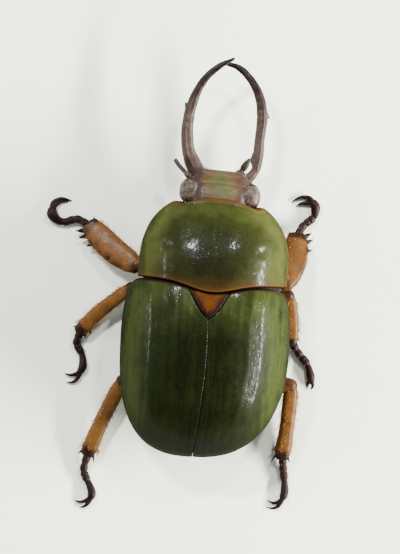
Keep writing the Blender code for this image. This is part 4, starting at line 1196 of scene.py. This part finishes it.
def make_tibia(leg, material):
    """A shin with its teeth and spurs, and on mid and hind legs with pegs on its outer edge."""
    rank = rank_of(leg)
    knee, ankle = (Vector(LEGS[leg][key]) for key in ("knee", "ankle"))
    along = (ankle - knee).normalized()
    level, up = across(along)
    side = level * outer_sign(leg)
    rows = limb_rows(knee, ankle, TIBIA_PROFILE[rank], bow_of(leg), TIBIA_PAST_ANKLE)
    parts = [tube(rows, 8, 28, 2.5)]
    teeth = []
    for start, end, radius in TIBIA_SPINES[rank]:
        root, tip = (ankle + along * past + side * out for past, out in (start, end))
        teeth.append((root, tip, 1.0 if rank == "fore" and start[1] > 0 else 0.6))
        low = radius * 0.9 + 0.02
        parts.append(cone(lifted(root, low), lifted(tip, low), radius, 14))
    if rank != "fore":
        parts += pegs(knee, ankle, side, up, *rows[2][3:])
    tibia = welded("shin_" + leg, parts, material, WELD, 1)
    rough_up(tibia, 0.012, 2.2)
    end_shade = 0.5 if rank == "fore" else 0.85
    values = []
    for v in tibia.data.vertices:
        place = v.co / MM
        share = (place - knee).dot(along) / (ankle - knee).length
        edge = smoothstep((abs((place - knee).dot(side)) - 0.42) / 0.5)
        ends = end_shade * smoothstep((share - 0.9) / 0.1)
        root = 0.4 * smoothstep((0.1 - share) / 0.12)
        values.append(0.3 * edge + ends + root + tooth_shade(place, teeth))
    set_values(tibia, "dark", values)
    stands_for(tibia, ["tibia_" + leg])


def foot_rows(leg):
    pose = LEGS[leg]
    route = [Vector(pose["ankle"])] + [Vector((*place, z)) for place, z in zip(pose["foot"], FOOT_HEIGHTS)]
    return smooth_path(route, 10)


def make_foot(leg, material):
    """Five flared joints, each seated in the one before it, and two hooked claws."""
    route = foot_rows(leg)
    last = len(route) - 1
    swell = LAST_JOINT_SWELL.get(leg, 1.0)
    parts = []
    for start, end in zip(JOINT_SHARES, JOINT_SHARES[1:]):
        rows = []
        wide = FOOT_RADIUS * (swell if end == 1.0 else 1.0)
        for part, size in ((-0.06, FOOT_WAIST), (0.25, wide * 0.78), (0.7, wide), (0.93, wide * 0.97)):
            share = max(0.0, start + (end - start) * part)
            place = route[min(last, round(share * last))]
            rows.append((place[0], place[1], max(place[2], size * 0.98), size, size))
        parts.append(tube(rows, 5, 18))
    thick = CLAW_RADIUS * swell
    for claw in LEGS[leg]["claws"]:
        ends = [route[last - 4], route[last]] + [(*place, z) for place, z in zip(claw, CLAW_HEIGHTS)]
        rows = [(*end, thick * size, thick * size) for end, size in zip(ends, CLAW_TAPER)]
        parts.append(tube(rows, 7, 14))
    foot = welded("foot_" + leg, parts, material, 0.036, 1)
    rough_up(foot, 0.01, 3.0)
    stands_for(foot, ["tarsus_" + leg])


# Short stiff hairs

class Hairs:
    """Many hairs that become one object, each with its patch of the unwrap."""

    def __init__(self):
        self.verts, self.faces, self.uvs = [], [], []

    def add(self, root, direction, length, radius, patch, bend):
        """A three-sided hair in two straight stretches."""
        direction = direction.normalized()
        side = direction.orthogonal().normalized()
        up = direction.cross(side)
        start = len(self.verts)
        for reach, size, sag in ((0.0, 1.0, 0.0), (0.55, 0.75, 0.25)):
            centre = root + direction * length * reach + bend * sag * length
            for k in range(3):
                spread = around(side, up, 2 * math.pi * k / 3) * radius * size
                self.verts.append(lifted(centre + spread, HAIR_LIFT))
        self.verts.append(lifted(root + direction * length + bend * length, HAIR_LIFT))
        for k in range(3):
            j = (k + 1) % 3
            quad = (start + k, start + j, start + 3 + j, start + 3 + k)
            for face in (quad, (start + 3 + k, start + 3 + j, start + 6)):
                self.faces.append(face)
                for step in (corner - start for corner in face):
                    u, v = step % 3 / 3, step // 3 / 2
                    self.uvs.append((patch[0] + UV_SIZE * u, patch[1] + UV_SIZE * v))
        self.faces.append((start + 2, start + 1, start))
        self.uvs += [patch] * 3

    def make(self, name, material):
        obj = to_object(name, self.verts, self.faces, material)
        layer = obj.data.uv_layers.new(name="OFBake")
        layer.data.foreach_set("uv", np.array(self.uvs, np.float32).ravel())
        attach(obj, "root")


def leg_fringe(hairs, leg, rng, strip):
    """Hairs on a leg: a fringe along both edges of thigh and shin, and sparse ones over them."""
    rank = rank_of(leg)
    hip, knee, ankle = (Vector(LEGS[leg][key]) for key in ("hip", "knee", "ankle"))
    limbs = (
        (hip, knee, FEMUR_PROFILE[rank], 0.0, *THIGH_HAIRS),
        (knee, ankle, TIBIA_PROFILE[rank], bow_of(leg), *SHIN_HAIRS),
    )
    for limb, (start, end, profile, bow, length, count) in enumerate(limbs):
        rows = smooth_path(limb_rows(start, end, profile, bow), 10)
        along = (end - start).normalized()
        level, up = across(along)
        for _ in range(count):
            share = rng.uniform(0.06, 0.9)
            row = rows[int(share * (len(rows) - 1))]
            if rng.random() < 0.62:
                turn = rng.gauss(0.0, 0.3) + (math.pi if rng.random() < 0.6 else 0.0)
                reach = rng.uniform(0.6, 1.15) * length
            else:
                turn = rng.uniform(0, 2 * math.pi)
                reach = rng.uniform(0.3, 0.55) * length
            root = Vector(row[:3]) + level * math.cos(turn) * row[3] * 0.93
            root += up * math.sin(turn) * row[4] * 0.93
            lean = around(level, up, turn) * rng.uniform(0.5, 0.9) + along * rng.uniform(0.6, 1.2)
            if root.z + lean.normalized().z * reach < LOWEST_TIP:
                lean.z = abs(lean.z) * 0.2
            patch = (strip + 0.02 + 0.06 * (turn / (2 * math.pi) % 1.0), 0.02 + 0.45 * limb + 0.42 * share)
            hairs.add(root, lean, reach, LEG_HAIR_RADIUS, patch, along * 0.12)


def foot_bristles(hairs, leg, rng, strip):
    """A ring of short bristles at the end of each joint of a foot."""
    route = foot_rows(leg)
    last = len(route) - 1
    for number, share in enumerate(JOINT_SHARES[1:-1]):
        index = round(share * last)
        place = Vector(route[index])
        along = Vector(route[min(last, index + 1)]) - Vector(route[index - 1])
        along.normalize()
        level, up = across(along)
        for k in range(9):
            out = around(level, up, 2 * math.pi * k / 9 + rng.uniform(-0.2, 0.2))
            root = place + out * FOOT_RADIUS * 0.8
            if root.z < 0.08:
                continue
            patch = (strip + 0.1 + 0.004 * k, 0.05 + 0.1 * number)
            reach = rng.uniform(0.18, 0.3)
            hairs.add(root, out * 0.8 + along, reach, FOOT_HAIR_RADIUS, patch, along * 0.1)


def body_hairs(hairs, rng):
    """Pale hairs on the breast, the chest's underside, the belly and the tail plate."""
    for number, (node, (length, count)) in enumerate(BODY_HAIRS.items()):
        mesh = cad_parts[node].data
        low = [p for p in mesh.polygons if p.normal.z < 0.15 and p.center.z > 0.00025 and p.area > 4e-9]
        weights = [p.area * (1.0 if p.center.z > 0.0008 else 0.4) for p in low]
        for face in rng.choices(low, weights, k=count):
            corners = [mesh.vertices[v].co for v in face.vertices[:3]]
            a, b = sorted((rng.random(), rng.random()))
            root = (corners[0] * a + corners[1] * (b - a) + corners[2] * (1 - b)) / MM
            lean = face.normal * 0.45 + Vector((0, -1, 0))
            lean += Vector([rng.uniform(-0.2, 0.2) for _ in range(3)])
            reach = rng.uniform(0.6, 1.1) * length
            if root.z + lean.normalized().z * reach < LOWEST_TIP:
                lean.z = 0.0
            patch = (0.3 * number + 0.02 + 0.225 * (root.x + 6) / 12, 0.02 + 0.9 * (root.y + 9) / 19)
            hairs.add(root - face.normal * 0.03, lean, reach, BODY_HAIR_RADIUS, patch, UP * 0.02)


def mouth_bristles(hairs, rng):
    """Bristles at the front of the head, and on its sides below the eyes."""
    for sign in (1, -1):
        for _ in range(26):
            root = Vector((sign * rng.uniform(0.9, 1.5), rng.uniform(10.85, 11.05), rng.uniform(2.9, 3.4)))
            lean = Vector((sign * rng.uniform(-0.3, 0.4), 1.0, rng.uniform(-0.2, 0.4)))
            reach = rng.uniform(0.18, 0.36)
            patch = (0.5 + 0.1 * sign, 0.97 * rng.random())
            hairs.add(HEAD_POSE @ root, lean, reach, MOUTH_HAIR_RADIUS, patch, Vector())
        for _ in range(40):
            turn = rng.uniform(-0.9, 0.9)
            root = Vector((sign * (1.98 + 0.55 * math.cos(turn)), 9.5 + 0.8 * math.sin(turn), 2.6))
            lean = Vector((sign * 0.7, rng.uniform(-0.1, 0.7), -0.3))
            reach = rng.uniform(0.2, 0.4)
            patch = (0.8 + 0.1 * sign, 0.97 * rng.random())
            hairs.add(HEAD_POSE @ root, lean, reach, MOUTH_HAIR_RADIUS, patch, Vector())


# Light, floor and camera

def make_stage():
    nodes = Nodes("pale_floor")
    colour = nodes.mix(nodes.noise(0.02, 4.0), linear((222, 228, 209)), linear((234, 238, 222)))
    normal = nodes.bump(nodes.noise(1.2, 4.0), 0.08, 0.05)
    material = nodes.finish(colour, 0.75, Normal=normal, Specular_IOR_Level=0.2)
    corners = [(x * FLOOR_SIZE, y * FLOOR_SIZE, 0) for x, y in ((-1, -1), (1, -1), (1, 1), (-1, 1))]
    floor = to_object("floor", corners, [(0, 1, 2, 3)], material, scale=1.0)
    floor.data.polygons[0].use_smooth = False

    world = bpy.data.worlds.new("studio")
    world.use_nodes = True
    sky = world.node_tree.nodes["Background"].inputs
    sky["Color"].default_value = (0.93, 0.96, 1.0, 1.0)
    sky["Strength"].default_value = 0.5
    bpy.context.scene.world = world

    for name, place, (width, length), power, colour in LAMPS:
        lamp = bpy.data.lights.new(name, "AREA")
        lamp.shape = "RECTANGLE"
        lamp.size = width
        lamp.size_y = length
        lamp.energy = power
        lamp.color = colour
        obj = add_object(name, lamp)
        obj.location = place
        obj.rotation_euler = (Vector(LAMP_TARGET) - Vector(place)).to_track_quat("-Z", "Y").to_euler()


def make_camera():
    """Straight above, framed as the photograph is, whatever size the picture comes out."""
    camera = bpy.data.cameras.new("camera")
    camera.sensor_fit = "VERTICAL"
    camera.sensor_height = SENSOR
    camera.lens = SENSOR * VIEW_DISTANCE / (IMAGE_HEIGHT * MM_PER_PIXEL)
    camera.clip_start = 0.01
    camera.clip_end = 20.0
    obj = add_object("camera", camera)
    obj.location = Vector(VIEW_CENTRE) * MM + Vector((0, 0, VIEW_DISTANCE * MM))
    obj.rotation_euler = (0, 0, VIEW_ROLL)
    bpy.context.scene.camera = obj


def make_materials():
    return {
        "elytra": green_shell(
            "elytra_green", 4.2, (6, 9, 1), (20, 26, 5), (41, 48, 17), (30, 20, 8), (12, 9, 4),
            streaky=0.14,
        ),
        "shield": green_shell(
            "shield_green", 6.0, (11, 13, 3), (30, 34, 9), (56, 60, 24), (66, 40, 15), (18, 9, 4)
        ),
        "rump": green_shell(
            "rump_green", 5.0, (16, 16, 4), (34, 32, 9), (58, 50, 17), (34, 18, 6), (14, 9, 4)
        ),
        "body": brown_shell("body_brown", (26, 13, 5), (58, 31, 10)),
        "head": head_shell("head_brown"),
        "leg": leg_shell("leg_orange", (38, 20, 8), (94, 61, 25), 0.1),
        "scutellum": leg_shell("scutellum_orange", (30, 7, 0), (66, 34, 1), 0.06),
        "jaw": leg_shell("jaw_brown", (32, 20, 17), (68, 56, 49), 0.13),
        "feeler": brown_shell("feeler_dark", (18, 15, 10), (44, 38, 28), 7.0, (0.36, 0.5), 0.14),
        "foot": brown_shell("foot_dark", (10, 4, 3), (30, 14, 12), 7.0, (0.36, 0.52), 0.08),
        "skin": brown_shell("joint_skin", (12, 7, 4), (22, 13, 8), 5.0, (0.55, 0.75), 0.05),
        "eye": eye_shell("eye_brown"),
        "hair": hair_shell("hair_gold", (178, 132, 70), (124, 84, 38)),
        "bristle": hair_shell("hair_brown", (84, 52, 28), (40, 24, 14)),
    }


def main():
    rng = random.Random(11)
    make_stage()
    make_camera()
    materials = make_materials()
    body = materials["body"]
    for side in SIGNS:
        make_elytron(side, materials["elytra"])
        make_jaw(side, materials["jaw"])
        make_feeler(side, materials["feeler"])
        make_palp(side, materials["feeler"])
    make_scutellum(materials["scutellum"])
    make_shield(materials["shield"])
    make_head(materials["head"])
    for side in ("right", "left"):
        make_eye(side, materials["eye"])
    make_soft_joints(materials["skin"])
    from_solid("breast", "prothorax", body)
    from_solid("chest", "chest_underside", body)
    from_solid("belly_rings", "abdomen", body, 0.07, 3)
    from_solid("rump", "rump_plate", materials["rump"], 0.05, 4)
    from_solid("lower_lip", "labium", body, 0.05, 4)
    leg_hairs, bristles, under_hairs = Hairs(), Hairs(), Hairs()
    for number, leg in enumerate(LEGS):
        from_solid("hip_" + leg, "coxa_" + leg, body, 0.06, 6)
        make_femur(leg, materials["leg"])
        make_tibia(leg, materials["leg"])
        make_foot(leg, materials["foot"])
        leg_fringe(leg_hairs, leg, rng, 0.16 * number)
        foot_bristles(bristles, leg, rng, 0.16 * number)
    leg_hairs.make("leg_hairs", materials["hair"])
    body_hairs(under_hairs, rng)
    under_hairs.make("body_hairs", materials["hair"])
    mouth_bristles(bristles, rng)
    bristles.make("bristles", materials["bristle"])


main()
